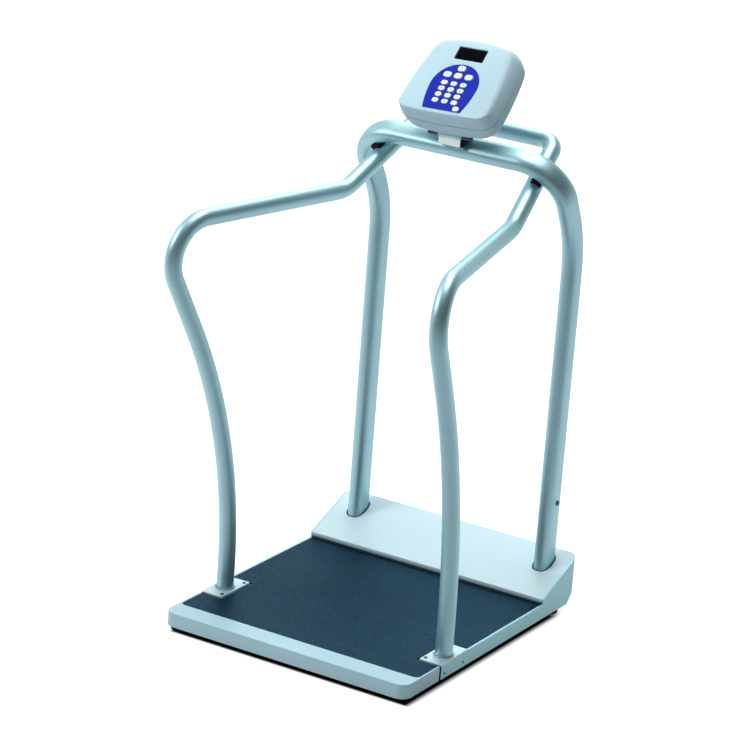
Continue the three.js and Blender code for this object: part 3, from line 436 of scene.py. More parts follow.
def stations(start, corners, end):
    """Centre line through round bends. On a bend, point = centre + first arm * cos(angle) +
    direction in * bend * sin(angle). Gives points and unit tangents, in mm."""
    nodes = np.array([start] + [c[0] for c in corners] + [end], float)
    ways = np.diff(nodes, axis=0)
    ways /= np.linalg.norm(ways, axis=1, keepdims=True)
    points, tangents = [nodes[0]], [ways[0]]
    for corner, into, out, (_, bend) in zip(nodes[1:], ways[:-1], ways[1:], corners):
        turn = acos(np.clip(into @ out, -1, 1))
        inward = (out - into) / np.linalg.norm(out - into)
        centre = corner + inward * bend / cos(turn / 2)
        first = corner - into * bend * np.tan(turn / 2) - centre
        count = max(4, int(np.degrees(turn) / BEND_STEP), int(turn * bend / BEND_LENGTH))
        angle = np.linspace(0, turn, count + 1)[:, None]
        points.extend(centre + first * np.cos(angle) + into * bend * np.sin(angle))
        tangents.extend(into * np.cos(angle) - first * np.sin(angle) / bend)
    points.append(nodes[-1])
    tangents.append(ways[-1])
    return np.array(points), np.array(tangents)


def tube(start, corners, end, section):
    """A section carried along a centre line. Its first axis starts forwards and turns as little as
    the bends need. point = station + first axis * x + second axis * y, and the UV map holds the
    length along the line and the way round it, both in metres."""
    points, tangents = stations(start, corners, end)
    normals = [np.array([0, -1, 0], float)]
    for before, after in zip(tangents[:-1], tangents[1:]):
        turned = np.array(Vector(before).rotation_difference(Vector(after)) @ Vector(normals[-1]))
        normals.append(turned - after * (turned @ after))
    normals = np.array(normals)
    normals /= np.linalg.norm(normals, axis=1, keepdims=True)
    seconds = np.cross(tangents, normals)
    rings = points[:, None] + normals[:, None] * section[:, :1] + seconds[:, None] * section[:, 1:]
    along, girth = [np.concatenate([[0], np.cumsum(np.linalg.norm(np.diff(line, axis=0), axis=1))]) * MM
                    for line in (points, np.concatenate([section, section[:1]]))]
    uv = np.stack(np.broadcast_arrays(along[:, None], girth[None]), -1).reshape(-1, 2)
    return loft(at(rings), uv=uv)


def turned_profile(profile, centre, axis, count, flats=None):
    """A profile of (radius, height) turned about an axis through centre, in row-frame metres.
    Where flats names a profile row, that row and those after it turn into a hexagon."""
    axis = Vector(axis)
    side = axis.orthogonal().normalized()
    t = np.linspace(0, 2 * pi, count, endpoint=False)
    round_rows = np.ones((len(profile), count))
    if flats is not None:
        sector = (t + pi / 6) % (pi / 3) - pi / 6
        round_rows[flats:] = cos(pi / 6) / np.cos(sector)
    radius, height = np.array(profile).T[..., None] * MM
    way = np.cos(t)[:, None] * np.array(side) + np.sin(t)[:, None] * np.array(axis.cross(side))
    return loft(np.array(centre) + (radius * round_rows)[..., None] * way
                + height[..., None] * np.array(axis))


def extruded(outline, x0, x1):
    """A closed outline of (depth, height) in mm carried along X between two places."""
    outline = np.asarray(outline, float)
    rings = [np.column_stack([np.full(len(outline), x), outline]) for x in (x0, x1)]
    return loft(at(rings))


def flat_fill(loops, height):
    """Triangles of a level face between its loops: the first is its edge, the rest are holes. A
    triangle stays where a level ray from its middle crosses the loops an odd number of times."""
    points = np.concatenate(loops)
    edges, start = [], 0
    for loop in loops:
        index = np.arange(len(loop))
        edges += (np.stack([index, (index + 1) % len(loop)], -1) + start).tolist()
        start += len(loop)
    flat, _, faces, *_ = delaunay_2d_cdt([Vector(p) for p in points], edges, [], 1, 1e-7)
    flat, faces = np.array(flat), np.array(faces)
    x, y = np.split(flat[faces].mean(1), 2, 1)
    (ax, ay), (bx, by) = points[np.array(edges)].transpose(1, 2, 0)
    crosses = (ay > y) != (by > y)
    with np.errstate(divide="ignore", invalid="ignore"):
        crosses &= x < (bx - ax) * (y - ay) / (by - ay) + ax
    keep = crosses.sum(1) % 2 == 1
    return np.column_stack([flat, np.full(len(flat), height)]), faces[keep].tolist(), None


def wall(loops_and_heights):
    """A wall through loops (count, 2) at heights, left open at both ends."""
    return loft([np.column_stack([loop, np.full(len(loop), height)])
                 for loop, height in loops_and_heights], False)


def on_face(parts):
    """Parts drawn in head coordinates, put in their place."""
    return [(on_head(xyz), faces, uv) for xyz, faces, uv in parts]


def piece(name, parts, material, body, covers=(), crease=32, signs=(), ink=None):
    """Joins (points, faces, uv) parts into one mesh, merges its doubles, turns its faces out and
    puts it on a body. Signs are parts in a second material, the ink."""
    points, faces, slots, uvs, start = [], [], [], [], 0
    for number, (xyz, quads, uv) in [(0, part) for part in parts] + [(1, part) for part in signs]:
        points.append(xyz)
        faces += [[i + start for i in face] for face in quads]
        slots += [number] * len(quads)
        uvs.append(uv if uv is not None else np.asarray(xyz)[:, :2])
        start += len(xyz)
    mesh = bpy.data.meshes.new(name)
    mesh.from_pydata(np.concatenate(points).tolist(), [], faces)
    mesh.polygons.foreach_set("material_index", slots)
    layer = mesh.uv_layers.new(name="run")
    index = np.zeros(len(mesh.loops), int)
    mesh.loops.foreach_get("vertex_index", index)
    layer.data.foreach_set("uv", np.concatenate(uvs)[index].ravel())
    for each in filter(None, (material, ink)):
        mesh.materials.append(each)
    work = bmesh.new()
    work.from_mesh(mesh)
    bmesh.ops.remove_doubles(work, verts=work.verts, dist=MERGE)
    bmesh.ops.recalc_face_normals(work, faces=work.faces)
    work.to_mesh(mesh)
    work.free()
    mesh.shade_smooth()
    mesh.set_sharp_from_angle(angle=radians(crease))
    return settle(bpy.data.objects.new(name, mesh), body, covers)


def settle(item, body, covers=()):
    """Links a piece, lets it ride on its body and hides the CAD nodes it stands for."""
    bpy.context.scene.collection.objects.link(item)
    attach(item, body)
    if covers:
        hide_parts(*covers)
    return item


def eased(node, name, material, body, width, steps=2):
    """A merged copy of a CAD node whose sharp edges are rounded."""
    work = bmesh.new()
    work.from_mesh(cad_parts[node].data)
    bmesh.ops.remove_doubles(work, verts=work.verts, dist=MERGE)
    bmesh.ops.dissolve_limit(work, angle_limit=radians(1), verts=work.verts, edges=work.edges)
    mesh = bpy.data.meshes.new(name)
    work.to_mesh(mesh)
    work.free()
    mesh.materials.append(material)
    mesh.shade_smooth()
    item = bpy.data.objects.new(name, mesh)
    bevel = item.modifiers.new("rounding", "BEVEL")
    bevel.width = width * MM
    bevel.segments = steps
    bevel.limit_method = "ANGLE"
    bevel.angle_limit = radians(30)
    item.modifiers.new("flat faces", "WEIGHTED_NORMAL").keep_sharp = True
    return settle(item, body, (node,))


def finish_node(node, material):
    """Gives a CAD node that stays in sight its procedural material."""
    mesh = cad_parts[node].data
    mesh.materials.clear()
    mesh.materials.append(material)


def head_ring(depth, inset):
    """The head's outline at a depth, drawn in by an inset: a four-cornered outline with round
    corners, wider below than above. Its sides then swell by bow * (1 - rise^2), and its upper and
    lower edges by bow * rise * (1 - (u / half-width)^2), where rise runs from -1 to 1."""
    table = np.array(HEAD_STATIONS, float)
    low, high, bottom, top, corner, sag = [np.interp(depth, table[:, 0], table[:, i]) for i in range(1, 7)]
    angle = np.radians(np.linspace(0, 90, 9))
    radius = corner - inset
    loops = []
    for u, v, start in ((low - corner, bottom + corner, -90), (high - corner, top - corner, 0),
                        (corner - high, top - corner, 90), (corner - low, bottom + corner, 180)):
        a = angle + radians(start)
        loops.append(np.stack([u + radius * np.cos(a), v + radius * np.sin(a)], -1))
    share = np.linspace(0, 1, 10)[1:-1, None]
    flat = []
    for here, after in zip(loops, loops[1:] + loops[:1]):
        flat += [here, here[-1] + (after[0] - here[-1]) * share]
    u, v = np.concatenate(flat).T
    rise = (2 * v - bottom - top) / (top - bottom)
    half = low + (high - low) * (v - bottom) / (top - bottom)
    lift = np.where(rise > 0, HEAD_TOP_BOW, sag) * rise * (1 - (u / half) ** 2)
    return np.stack([u * (1 + HEAD_SIDE_BOW * (1 - rise ** 2) / half), v + lift], -1)


def rectangle(left, right, low, high, grow):
    """The outline of a rectangle made larger all round, with each side in four."""
    t = np.linspace(0, 1, 4, endpoint=False)
    left, right, low, high = left - grow, right + grow, low - grow, high + grow
    corners = np.array([(left, low), (right, low), (right, high), (left, high)])
    return np.concatenate([a + (b - a) * t[:, None] for a, b in zip(corners, np.roll(corners, -1, 0))])


def smooth_depths(low, high, steps):
    """Depths between two, closer together at both ends: half a cosine wave."""
    return low + (high - low) * (1 - np.cos(np.linspace(0, pi, steps + 1))) / 2


def key_openings():
    """The openings round the keys, in shell and film alike."""
    return [superellipse(*np.add(size, OPENING_GAP), 28, OPENING_POWER) + (u, v) for _, u, v, size in KEYS]


class ScaleLook(bpy.types.PropertyGroup):
    tube: Colour(name="Tube", description="Colour of the bent tubes", default=(0.4, 0.66, 0.73))
    tube_metal: Share(name="Tube metal", description="How metallic the tubes look", default=0.78)
    tube_roughness: Share(name="Tube roughness", description="Spread of the tubes' highlights", default=0.45)
    trim: Colour(name="Trim", description="Colour of the front trim", default=(0.46, 0.69, 0.79))
    pale: Colour(name="Pale silver", description="Colour of housing and plates", default=(0.63, 0.83, 0.9))
    panel: Colour(name="Panel silver", description="Colour of the side panels", default=(0.42, 0.76, 0.84))
    shell: Colour(name="Head shell", description="Colour of the display head", default=(0.46, 0.65, 0.74))
    mat: Colour(name="Mat", description="Colour of the platform's mat", default=(0.007, 0.044, 0.085))
    mat_roughness: Share(name="Mat roughness", description="Spread of the mat's sheen", default=0.28)
    keypad: Colour(name="Keypad film", description="Colour of the keypad's film", default=(0.003, 0.016, 0.42))
    key: Colour(name="Keys", description="Colour of the key caps", default=(0.82, 0.9, 0.95))


class ScaleSizes(bpy.types.PropertyGroup):
    rail_radius: Length(name="Rail radius", description="Outside radius of the handrails' tube",
                        default=19.05 * MM)
    upright_depth: Length(name="Upright half depth", description="Half of the oval tube's long axis",
                          default=27.4 * MM)
    upright_width: Length(name="Upright half width", description="Half of the oval tube's short axis",
                          default=19.1 * MM)
    key_top: Length(name="Key top", description="Height of a key's rim above the face", default=3.1 * MM)
    tube_sides: IntProperty(name="Tube sides", description="Faces round each tube", default=48, min=12, max=96)


class ScaleStage(bpy.types.PropertyGroup):
    lens: FloatProperty(name="Lens", description="Focal length on a 36 mm sensor", default=159.53,
                        unit="CAMERA")
    key_light: Power(name="Key light", description="Strength of the lamp above the left side", default=135)
    top_light: Power(name="Top light", description="Strength of the wide lamp overhead", default=145)
    back_light: Power(name="Back light", description="Strength of the lamp behind the object", default=60)
    sky: Share(name="Sky", description="Strength of the white surround on the object", default=0.3)
    near_side: Share(name="Near side", description="Brightness of the studio's near side in gloss",
                     default=0.02)
    far_side: Share(name="Far side", description="Brightness of the white backdrop in gloss", default=0.85)
    overhead: Share(name="Overhead", description="Brightness of the soft patch overhead in gloss", default=0.5)


class SCALE_OT_stage(bpy.types.Operator):
    """Sets up the camera, the white floor, the surround and three soft lamps"""
    bl_idname = "scale.stage"
    bl_label = "Camera and light"

    def execute(self, context):
        scene = context.scene
        stage = scene.scale_stage
        camera = bpy.data.objects.new("camera", bpy.data.cameras.new("camera"))
        scene.collection.objects.link(camera)
        camera.data.lens = stage.lens
        camera.data.sensor_fit = "HORIZONTAL"
        camera.data.clip_end = 60
        turn = Matrix(CAMERA_AXES).transposed().to_4x4()
        camera.matrix_world = Matrix.Translation(CAMERA_PLACE) @ turn
        scene.camera = camera

        for name, place, size, power, aim_height in (
                ("key_lamp", (-3.8, -2.9, 3.9), 2.6, stage.key_light, 0.6),
                ("top_lamp", (0.0, 0.8, 5.2), 3.0, stage.top_light, 0.4),
                ("back_lamp", (-1.6, 3.2, 4.2), 2.8, stage.back_light, 0.4)):
            lamp = bpy.data.objects.new(name, bpy.data.lights.new(name, "AREA"))
            scene.collection.objects.link(lamp)
            lamp.data.shape = "DISK"
            lamp.data.size = size
            lamp.data.energy = power
            lamp.location = place
            aim = Vector((0, 0, aim_height)) - Vector(place)
            lamp.rotation_euler = aim.to_track_quat("-Z", "Y").to_euler()
        self.surround(scene, stage)
        self.floor(scene, stage)
        scene.view_settings.view_transform = "Standard"
        return {"FINISHED"}

    def surround(self, scene, stage):
        """White to the camera. Gloss sees a pale backdrop behind, a dark near side and a soft patch
        overhead, and the object is lit a little more from its left."""
        world = bpy.data.worlds.new("surround")
        scene.world = world
        world.use_nodes = True
        sky = Tree(world.node_tree)
        x, y, z = sky.axes("Generated")
        behind = (y * 0.8 - x * 0.6).ease(-0.1, 0.7) * (1 - z.ease(0.3, 0.8))
        over = (z * 0.87 + y * 0.1 - x * 0.48).ease(0.78, 0.96)
        backdrop = behind * (stage.far_side - stage.near_side) + over * stage.overhead + stage.near_side
        left = 1.25 - (x * 0.848 + y * 0.525).ease(-0.6, 0.9) * 0.6
        seen, gloss = sky.rays()
        back = sky.nodes["Background"]
        sky.feed(back.inputs["Color"], (1, 1, 1, 1))
        sky.feed(back.inputs["Strength"], seen + gloss * backdrop + (1 - seen - gloss) * left * stage.sky)

    def floor(self, scene, stage):
        """White to the camera, with painted shadow in black under the platform and in a soft band beyond
        its right side, and darker on the near side in gloss. In front of the platform it lights what is
        dull from below."""
        floor = Finish("white_floor", Specular_IOR_Level=0, Emission_Strength=1)
        x, y, _ = floor.axes()
        # painted shadow: the floor is black under the platform, fading out just past its front and right sides
        across = (1 - x.ease(0.3, 0.32)) * (1 - (-1 * x).ease(0.28, 0.296))
        along = (y - FRONT).ease(-0.003, 0.008) * (1 - (y - FRONT).ease(0.63, 0.68))
        outside_painted_shadow = 1 - across * along
        near = (x * 0.506 - y * 0.863).ease(-0.3, 0.9)
        far_floor = stage.far_side * 0.8
        floor_gloss = near * (stage.near_side - far_floor) + far_floor
        apron = (FRONT - y).ease(0.05, 0.4)
        seen, gloss = floor.rays()
        glow = seen + gloss * floor_gloss + (1 - seen - gloss) * apron * 0.5
        floor.wear(Base_Color=floor.mix((0.01, 0.01, 0.01, 1), (0.45, 0.45, 0.45, 1), outside_painted_shadow),
                   Emission_Color=floor.mix((0, 0, 0, 1), (1, 1, 1, 1), glow * outside_painted_shadow * 0.86),
                   Roughness=0.85 + floor.noise(3) * 0.05)
        mesh = bpy.data.meshes.new("floor")
        mesh.from_pydata(np.array([(-1, -1, 0), (1, -1, 0), (1, 1, 0), (-1, 1, 0)]) * FLOOR_REACH,
                         [], [(0, 1, 2, 3)])
        mesh.materials.append(floor.material)
        ground = bpy.data.objects.new("floor", mesh)
        scene.collection.objects.link(ground)


class SCALE_OT_tubes(bpy.types.Operator):
    """Builds the two handrails, the oval upright frame and the weld beads at the rails' feet"""
    bl_idname = "scale.tubes"
    bl_label = "Rails and upright frame"

    def execute(self, context):
        sizes, look = context.scene.scale_sizes, context.scene.scale_look
        steel = satin_tube(look)
        bead_steel = machined("bead_steel", (0.3, 0.45, 0.5), 0.45, 0.4)
        radius = sizes.rail_radius / MM
        ring = superellipse(radius, radius, sizes.tube_sides)
        bead = superellipse(2.4, 2.0, 14) + (radius + 1.2, RAIL_START[2] + 0.2)
        middle = (SEAT / 2, *RAIL_CORNERS[-1][0][1:])
        for side, mirror in SIDES:
            xyz, faces, uv = tube(RAIL_START, RAIL_CORNERS, middle, ring)
            piece(f"handrail_tube_{side}", [(xyz * (mirror, 1, 1), faces, uv)], steel, STAND,
                  [f"handrail_{side}"])
            self.bead(f"rail_weld_{side}", bead, mirror * RAIL_START[0], RAIL_START[1], bead_steel)
        section = superellipse(sizes.upright_depth / MM, sizes.upright_width / MM, 72, UPRIGHT_POWER)
        corners = [((UPRIGHT_X, UPRIGHT_Y, LEAN_START), LEAN_BEND),
                   ((SHOULDER_X, CROSSBAR_Y, CROSSBAR_Z), SHOULDER_BEND),
                   ((-SHOULDER_X, CROSSBAR_Y, CROSSBAR_Z), SHOULDER_BEND),
                   ((-UPRIGHT_X, UPRIGHT_Y, LEAN_START), LEAN_BEND)]
        arch = tube((UPRIGHT_X, UPRIGHT_Y, UPRIGHT_FOOT), corners,
                    (-UPRIGHT_X, UPRIGHT_Y, UPRIGHT_FOOT), section)
        piece("upright_tube", [arch], steel, STAND, ["upright_frame"])
        return {"FINISHED"}

    def bead(self, name, profile, x, y, material):
        """A closed bead: a profile carried round an upright axis, its radius rippled by two sines."""
        t = np.linspace(0, 2 * pi, 48, endpoint=False)
        ripple = 1 + 0.012 * np.sin(23 * t) + 0.01 * np.sin(41 * t + 1)
        radius, height = np.concatenate([profile, profile[:1]]).T[..., None]
        rings = np.stack(np.broadcast_arrays(
            x + radius * ripple * np.cos(t), y + radius * ripple * np.sin(t), height), -1)
        piece(name, [loft(at(rings), False)], material, STAND, crease=80)


class SCALE_OT_platform(bpy.types.Operator):
    """Rounds the edges of the platform's trim, panels, plates, mat and housing"""
    bl_idname = "scale.platform"
    bl_label = "Platform and housing"

    def execute(self, context):
        look = context.scene.scale_look
        trim = painted("bright_trim", look.trim, 0.34, 0.25)
        panel = painted("side_panel_paint", look.panel, 0.38, 0.3)
        housing = painted("housing_paint", look.pale, 0.45, 0.05)
        plate = machined("plate_satin", look.pale, 0.36, 0.5)
        eased("front_trim", "trim_band", trim, STAND, 1.2, 3)
        eased("platform_mat", "mat_sheet", mat_rubber(look), STAND, 0.7)
        eased("rear_housing", "housing_cover", housing, STAND, 1.1, 3)
        for side, _ in SIDES:
            eased(f"side_panel_{side}", f"side_skirt_{side}", panel, STAND, 0.9)
            eased(f"rail_plate_{side}", f"rail_foot_{side}", plate, STAND, 0.9)
        self.retainer()
        self.seam_shade_strips()
        return {"FINISHED"}

    def seam_shade_strips(self):
        """Black strips set back in the open seams between front trim and side panels: painted shade in the
        seams.
        """
        # painted shade: black strips fill the seams where only their shadow is
        black = rubber("seam_shade_black", (0.008, 0.01, 0.012))
        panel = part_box("side_panel_right")[0]
        low, high = panel.z / MM + 1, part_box("front_trim")[1].z / MM - 1.5
        back = (panel.y - FRONT) / MM - 0.4
        front = back - 7.2
        outline = [(front, low), (back, low), (back, high), (front, high)]
        for side, mirror in SIDES:
            piece(f"seam_shade_piece_{side}", [extruded(outline, *np.multiply(SEAM_SHADE_X, mirror))], black,
                  STAND)

    def retainer(self):
        """Ribbed strip: its top follows |sine|^0.6 over three half waves."""
        low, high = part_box("mat_retainer")
        front, back, foot = (low.y - FRONT) / MM, (high.y - FRONT) / MM, low.z / MM
        t = np.linspace(0, 1, 49)
        ribs = np.abs(np.sin(3 * pi * t)) ** 0.6
        top = np.stack([front + t * (back - front), foot + (high.z / MM - foot) * (0.62 + 0.38 * ribs)], -1)
        strip = extruded(np.concatenate([top, [(back, foot), (front, foot)]]), low.x / MM, high.x / MM)
        piece("mat_strip", [strip], ribbed_strip(low.y, high.y), STAND, ["mat_retainer"], 50)


class SCALE_OT_underside(bpy.types.Operator):
    """Dresses the base frame, feet, wheels, load cells and what lies inside the stand"""
    bl_idname = "scale.underside"
    bl_label = "Frame, feet and wheels"

    def execute(self, context):
        black = painted("black_coat", (0.012, 0.014, 0.016), 0.5, 0.2, 0.00012)
        dark_rubber = rubber("black_rubber", (0.008, 0.009, 0.01))
        bare = machined("bare_aluminium", (0.5, 0.55, 0.57))
        dull = moulded("dark_plastic", (0.018, 0.024, 0.028), 0.5)
        eased("base_frame", "frame_beams", black, STAND, 0.8)
        finish_node("deck_plate", galvanised())
        finish_node("handrail_sleeve", galvanised())
        finish_node("junction_box", dull)
        finish_node("head_lead", dark_rubber)
        foot = [(0.1, 0), (24.5, 0), (26.4, 0.5), (27, 1.6), (27, 3.6), (26.2, 4.6), (12.5, 5.2),
                (9.4, 6.0), (9, 7), (9, 9.4), (5, 9.7), (5, 26), (0.1, 26)]
        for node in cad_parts:
            if node.startswith("foot_"):
                low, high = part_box(node)
                centre = ((low.x + high.x) / 2, (low.y + high.y) / 2, 0)
                piece(f"{node}_pad", [turned_profile(foot, centre, (0, 0, 1), 48)], dark_rubber,
                      f"{node}_screw", [node])
            elif node.startswith("load_cell_"):
                eased(node, f"{node}_bar", bare, STAND, 0.4)
            elif node.startswith("wheel_axle_"):
                finish_node(node, bare)
            elif node.startswith("rail_saddle_"):
                eased(node, f"{node}_pad", dark_rubber, STAND, 0.5)
        self.wheels(dark_rubber)
        return {"FINISHED"}

    def wheels(self, tyre):
        """Solid rubber wheels: tread crowned by a fourth power, face dished round the hub."""
        bore, radius, half = 5.5, 25, 10
        t = np.linspace(-1, 1, 13)
        tread = np.stack([radius - 1.6 * t ** 4, 9 * t], -1)
        face = np.array([(20.5, half - 0.6), (19.5, half - 1.8), (12, half - 1.8), (11, half), (bore, half)])
        profile = np.concatenate([face[::-1] * (1, -1), tread, face])
        reach, width = np.concatenate([profile, profile[:1]]).T[..., None] * MM
        turn = np.linspace(0, 2 * pi, 56, endpoint=False)
        for side, mirror in SIDES:
            node = f"transport_wheel_{side}"
            low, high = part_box(node)
            rings = np.stack(np.broadcast_arrays(
                mirror * WHEEL_X * MM + width, (low.y + high.y) / 2 + reach * np.cos(turn),
                (low.z + high.z) / 2 + reach * np.sin(turn)), -1)
            piece(f"wheel_tyre_{side}", [loft(rings, False)], tyre, f"{node}_roll", [node])


class SCALE_OT_head(bpy.types.Operator):
    """Builds the display head's two shells with their openings, the door, window and inner parts"""
    bl_idname = "scale.head"
    bl_label = "Display head"

    def execute(self, context):
        look = context.scene.scale_look
        shell = moulded("head_shell", look.shell, 0.5)
        self.front(shell)
        self.back(shell)
        eased("battery_door", "battery_lid", shell, HEAD, 0.5)
        dull = moulded("dark_fitting", (0.03, 0.045, 0.05), 0.5)
        eased("swivel_plate", "swivel_base", swivel_finish(look), HEAD, 0.8)
        eased("head_bracket", "head_carrier", bracket_metal(), STAND, 0.8)
        eased("display_window", "window_pane", smoked_window(), HEAD, 0.25)
        green = moulded("board_green", (0.012, 0.09, 0.035), 0.4)
        finish_node("battery_pack", dull)
        finish_node("display_module", dull)
        finish_node("main_board", green)
        finish_node("swivel_bolt", machined("dark_screw", (0.1, 0.12, 0.13)))
        return {"FINISHED"}

    def shell(self, depths, inner, holes):
        """Outer wall from the seam on, with a square groove along the seam, the inner wall back to it,
        and the level face between them with its holes, each an outer and an inner loop."""
        way = np.sign(depths[-1] - depths[0])
        edge, deep = depths[0] + 1.1 * way, 1.8
        outer = [(head_ring(w, inset), w) for w, inset in ((depths[0], deep), (edge, deep), (edge, 0))]
        outer += [(head_ring(w, 0), w) for w in depths if (w - edge) * way > 0.2]
        return [wall(outer), wall(inner), wall([outer[0], inner[0]]),
                flat_fill([outer[-1][0]] + [a for a, _ in holes], outer[-1][1]),
                flat_fill([inner[-1][0]] + [b for _, b in holes], inner[-1][1])]

    def front(self, material):
        """The shell from seam to face, with the window's stepped hole and those of the keys."""
        pane, ledge, keys = rectangle(*WINDOW, SEAT), rectangle(*WINDOW, LEDGE_WIDTH), key_openings()
        depths = np.concatenate([smooth_depths(-HEAD_SEAM, -10, 8), smooth_depths(-10, 0, 8)[1:]])
        inner = [(head_ring(w, HEAD_WALL), w) for w in np.linspace(-HEAD_SEAM, -HEAD_WALL - 2, 6)]
        inner.append((head_ring(-1, HEAD_WALL), -HEAD_WALL))
        parts = self.shell(depths, inner, [(pane, ledge)] + list(zip(keys, keys)))
        parts += [wall([(loop, 0), (loop, -HEAD_WALL)]) for loop in keys]
        parts.append(wall([(pane, 0), (pane, LEDGE_DEPTH), (ledge, LEDGE_DEPTH), (ledge, -HEAD_WALL)]))
        piece("head_face_shell", on_face(parts), material, HEAD, ["head_front_shell"], 40)

    def back(self, material):
        """The shell from seam to back, with the holes of the door and the bolt."""
        edge, rear = -HEAD_SEAM - SEAT, -HEAD_DEPTH
        door = rectangle(*DOOR, SEAT)
        bolt = superellipse(6.3, 6.3, 28) + (0, SWIVEL_LEAD - FACE_LEAD)
        depths = np.concatenate([smooth_depths(edge, -60, 6), smooth_depths(-60, rear, 8)[1:]])
        inner = [(head_ring(w, HEAD_WALL), w) for w in np.linspace(edge, rear + HEAD_WALL, 8)]
        parts = self.shell(depths, inner, [(door, door), (bolt, bolt)])
        parts += [wall([(loop, rear), (loop, rear + HEAD_WALL)]) for loop in (door, bolt)]
        piece("head_back_shell", on_face(parts), material, HEAD, ["head_rear_shell"], 40)


class SCALE_OT_keypad(bpy.types.Operator):
    """Builds the keypad's film and its domed keys with their numbers"""
    bl_idname = "scale.keypad"
    bl_label = "Keypad"

    def execute(self, context):
        look, sizes = context.scene.scale_look, context.scene.scale_sizes
        film, keys = self.outline(), key_openings()
        low, high = SEAT, SEAT + 1
        drawn_in = film + (film.mean(0) - film) * 0.006
        parts = [wall([(film, low), (film, high - 0.35), (drawn_in, high)]),
                 flat_fill([film] + keys, low), flat_fill([drawn_in] + keys, high)]
        parts += [wall([(loop, low), (loop, high)]) for loop in keys]
        piece("keypad_film", on_face(parts), overlay_film(look), HEAD, ["keypad_overlay"], 30)
        white = moulded("key_white", look.key, 0.4, 0.00003)
        ink = moulded("key_ink", (0.2, 0.3, 0.5), 0.5, 0.00001)
        top, rim = sizes.key_top / MM, 0.8
        rows = [(CAP_SHARE, -2.7), (CAP_SHARE, top - rim)]
        rows += [(CAP_SHARE - 0.1 * (1 - cos(a)), top - rim + rim * sin(a))
                 for a in np.linspace(0.2, pi / 2, 6)]
        rows += [(s, top + 0.25 * (1 - s * s)) for s in (0.7, 0.5, 0.3, 0.1)]
        for name, u, v, size in KEYS:
            rings = [(superellipse(size[0] * s, size[1] * s, 36, CAP_POWER) + (u, v), w) for s, w in rows]
            cap = [wall(rings)] + [flat_fill([loop], w) for loop, w in (rings[0], rings[-1])]
            piece(f"key_cap_{name}", on_face(cap), white, f"key_{name}_cap", [f"key_{name}"], 40,
                  self.marks({"point": "."}.get(name, name), u, v, top), ink)
        return {"FINISHED"}

    def outline(self):
        """Dome: a flat foot, bulging sides by a quadratic Bezier curve and a top by two cubic ones."""
        t = np.linspace(0, 1, 25)[:-1, None]
        s = 1 - t
        side = s ** 2 * (45, 4.6) + 2 * t * s * (55, 35) + t ** 2 * (56, 70)
        dome = (s ** 3 * (56, 70) + 3 * t * s ** 2 * (56, 103) + 3 * t ** 2 * s * (34, 131.5)
                + t ** 3 * (0, 131.5))
        half = np.concatenate([side, dome, [(0, 131.5)]])
        return np.concatenate([half, half[:-1][::-1] * (-1, 1)])

    def marks(self, mark, u, v, top):
        """A key's mark: a digit from Blender's own font, or a sign built from rings (place, outer and
        inner radius) and bars (place, half sizes, turn)."""
        if len(mark) == 1:
            xyz, faces = self.digit(mark)
            return on_face([(xyz + (u, v, top + 0.23), faces, None)])
        signs = {
            "power": [(0, -0.3, 2.9, 2.2), (0, 2.2, 0.45, 2.0, 0)],
            "function_left": [(0, 1.2, 3.2, 0.5, 0), (0, -1.2, 3.2, 0.5, 0)],
            "function_middle": [(0, 0, 2.8, 2.0)],
            "function_right": [(-1.2, 0, 0.5, 2.6, 0), (1.2, 0, 0.5, 2.6, 0)],
            "clear": [(0, 0, 2.8, 0.5, 45), (0, 0, 2.8, 0.5, -45)],
            "enter": [(0, 0, 3.4, 0.5, 0), (-2.4, 0, 0.5, 1.6, 0)],
        }
        parts = []
        low, high = top + 0.1, top + 0.36
        for across, up, *sizes in signs[mark]:
            if len(sizes) == 2:
                loops = [superellipse(r, r, 28) for r in sizes]
            else:
                turn = radians(sizes[2])
                spin = np.array([(cos(turn), sin(turn)), (-sin(turn), cos(turn))])
                loops = [superellipse(*sizes[:2], 20, 5) @ spin]
            loops = [loop + (u + across, v + up) for loop in loops]
            parts.append(flat_fill(loops, high))
            parts += [wall([(loop, low), (loop, high)]) for loop in loops]
            parts.append(flat_fill(loops, low))
        return on_face(parts)

    def digit(self, mark):
        """A digit's mesh in mm, in the middle of its key."""
        curve = bpy.data.curves.new("digit", "FONT")
        curve.body = mark
        curve.size = 9 * MM
        curve.extrude = 0.12 * MM
        curve.align_x, curve.align_y = "CENTER", "CENTER"
        item = bpy.data.objects.new("digit", curve)
        mesh = bpy.data.meshes.new_from_object(item)
        xyz = np.zeros(len(mesh.vertices) * 3)
        mesh.vertices.foreach_get("co", xyz)
        faces = [list(p.vertices) for p in mesh.polygons]
        bpy.data.objects.remove(item)
        bpy.data.curves.remove(curve)
        bpy.data.meshes.remove(mesh)
        return xyz.reshape(-1, 3) / MM, faces


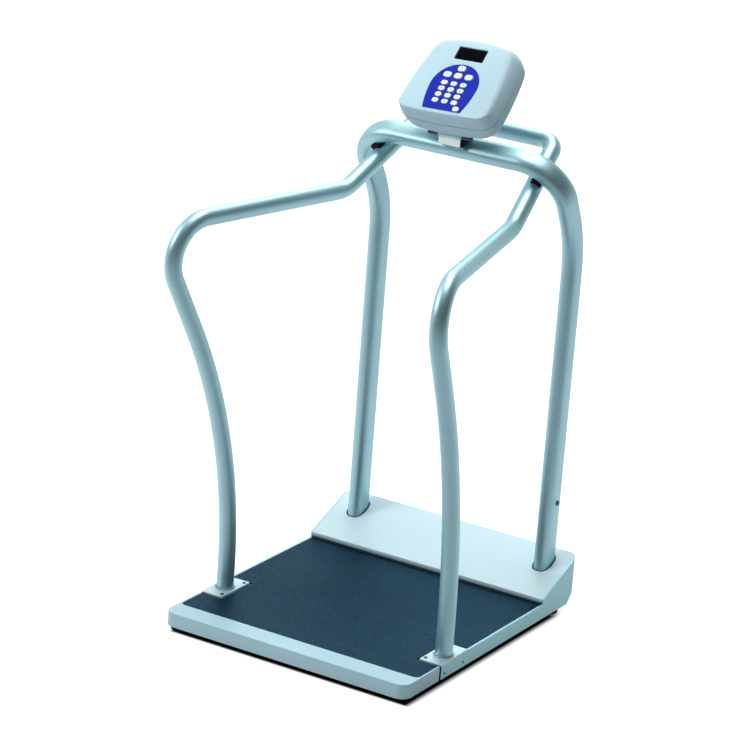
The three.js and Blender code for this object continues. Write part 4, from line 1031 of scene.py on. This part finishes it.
class SCALE_OT_fittings(bpy.types.Operator):
    """Adds the screws that hold plates, panels and uprights"""
    bl_idname = "scale.fittings"
    bl_label = "Screws"

    def execute(self, context):
        steel = machined("screw_steel", (0.16, 0.2, 0.22), 0.3)
        plate_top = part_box("rail_plate_right")[1].z
        for side, mirror in SIDES:
            for number, y in enumerate(PLATE_SCREW_Y, 1):
                place = at([mirror * PLATE_SCREW_X, y, 0]) + (0, 0, plate_top)
                self.screw(f"plate_screw_{side}_{number}", 4.2, 2.2, place, (0, 0, 1), steel)
            for number, y in enumerate(PANEL_SCREW_Y, 1):
                place = at([mirror * PANEL_SCREW_X, y, PANEL_SCREW_Z])
                self.screw(f"panel_screw_{side}_{number}", 3.2, 1.4, place, (mirror, 0, 0), steel)
            place = at([mirror * LOCK_SCREW_X, UPRIGHT_Y, LOCK_SCREW_Z])
            self.screw(f"lock_screw_{side}", 6.5, 2.8, place, (mirror, 0, 0), steel,
                       [f"upright_screw_{side}"])
        return {"FINISHED"}

    def screw(self, name, radius, height, place, axis, material, covers=()):
        """Button head with a hexagon socket: dome by a quarter ellipse, then the socket's flats."""
        a = np.linspace(0, pi / 2, 7)
        dome = [(radius * (0.55 + 0.45 * cos(t)), height * (0.25 + 0.75 * sin(t))) for t in a]
        profile = [(0.05, 0), (radius, 0)] + dome + [(radius * 0.5, height), (radius * 0.5, height * 0.25),
                                                     (0.05, height * 0.2)]
        piece(name, [turned_profile(profile, place, axis, 36, len(profile) - 3)], material, STAND, covers,
              30)


class VIEW3D_PT_scale(bpy.types.Panel):
    """Lists the colours, sizes, lamps and operators"""
    bl_label = "Platform scale"
    bl_idname = "VIEW3D_PT_scale"
    bl_space_type = "VIEW_3D"
    bl_region_type = "UI"
    bl_category = "Scale"

    def draw(self, context):
        for name, group in GROUPS.items():
            for key in group.__annotations__:
                self.layout.prop(getattr(context.scene, name), key)
        for operator in OPERATORS:
            self.layout.operator(operator.bl_idname)


OPERATORS = (SCALE_OT_stage, SCALE_OT_tubes, SCALE_OT_platform, SCALE_OT_underside, SCALE_OT_head,
             SCALE_OT_keypad, SCALE_OT_fittings)
GROUPS = {"scale_look": ScaleLook, "scale_sizes": ScaleSizes, "scale_stage": ScaleStage}


def register():
    for each in (*GROUPS.values(), *OPERATORS, VIEW3D_PT_scale):
        bpy.utils.register_class(each)
    for name, group in GROUPS.items():
        setattr(bpy.types.Scene, name, PointerProperty(type=group))


def unregister():
    for name in GROUPS:
        delattr(bpy.types.Scene, name)
    for each in (VIEW3D_PT_scale, *reversed(OPERATORS), *GROUPS.values()):
        bpy.utils.unregister_class(each)


def main():
    register()
    for operator in OPERATORS:
        getattr(bpy.ops.scale, operator.bl_idname.removeprefix("scale."))()


if __name__ == "__main__":
    main()
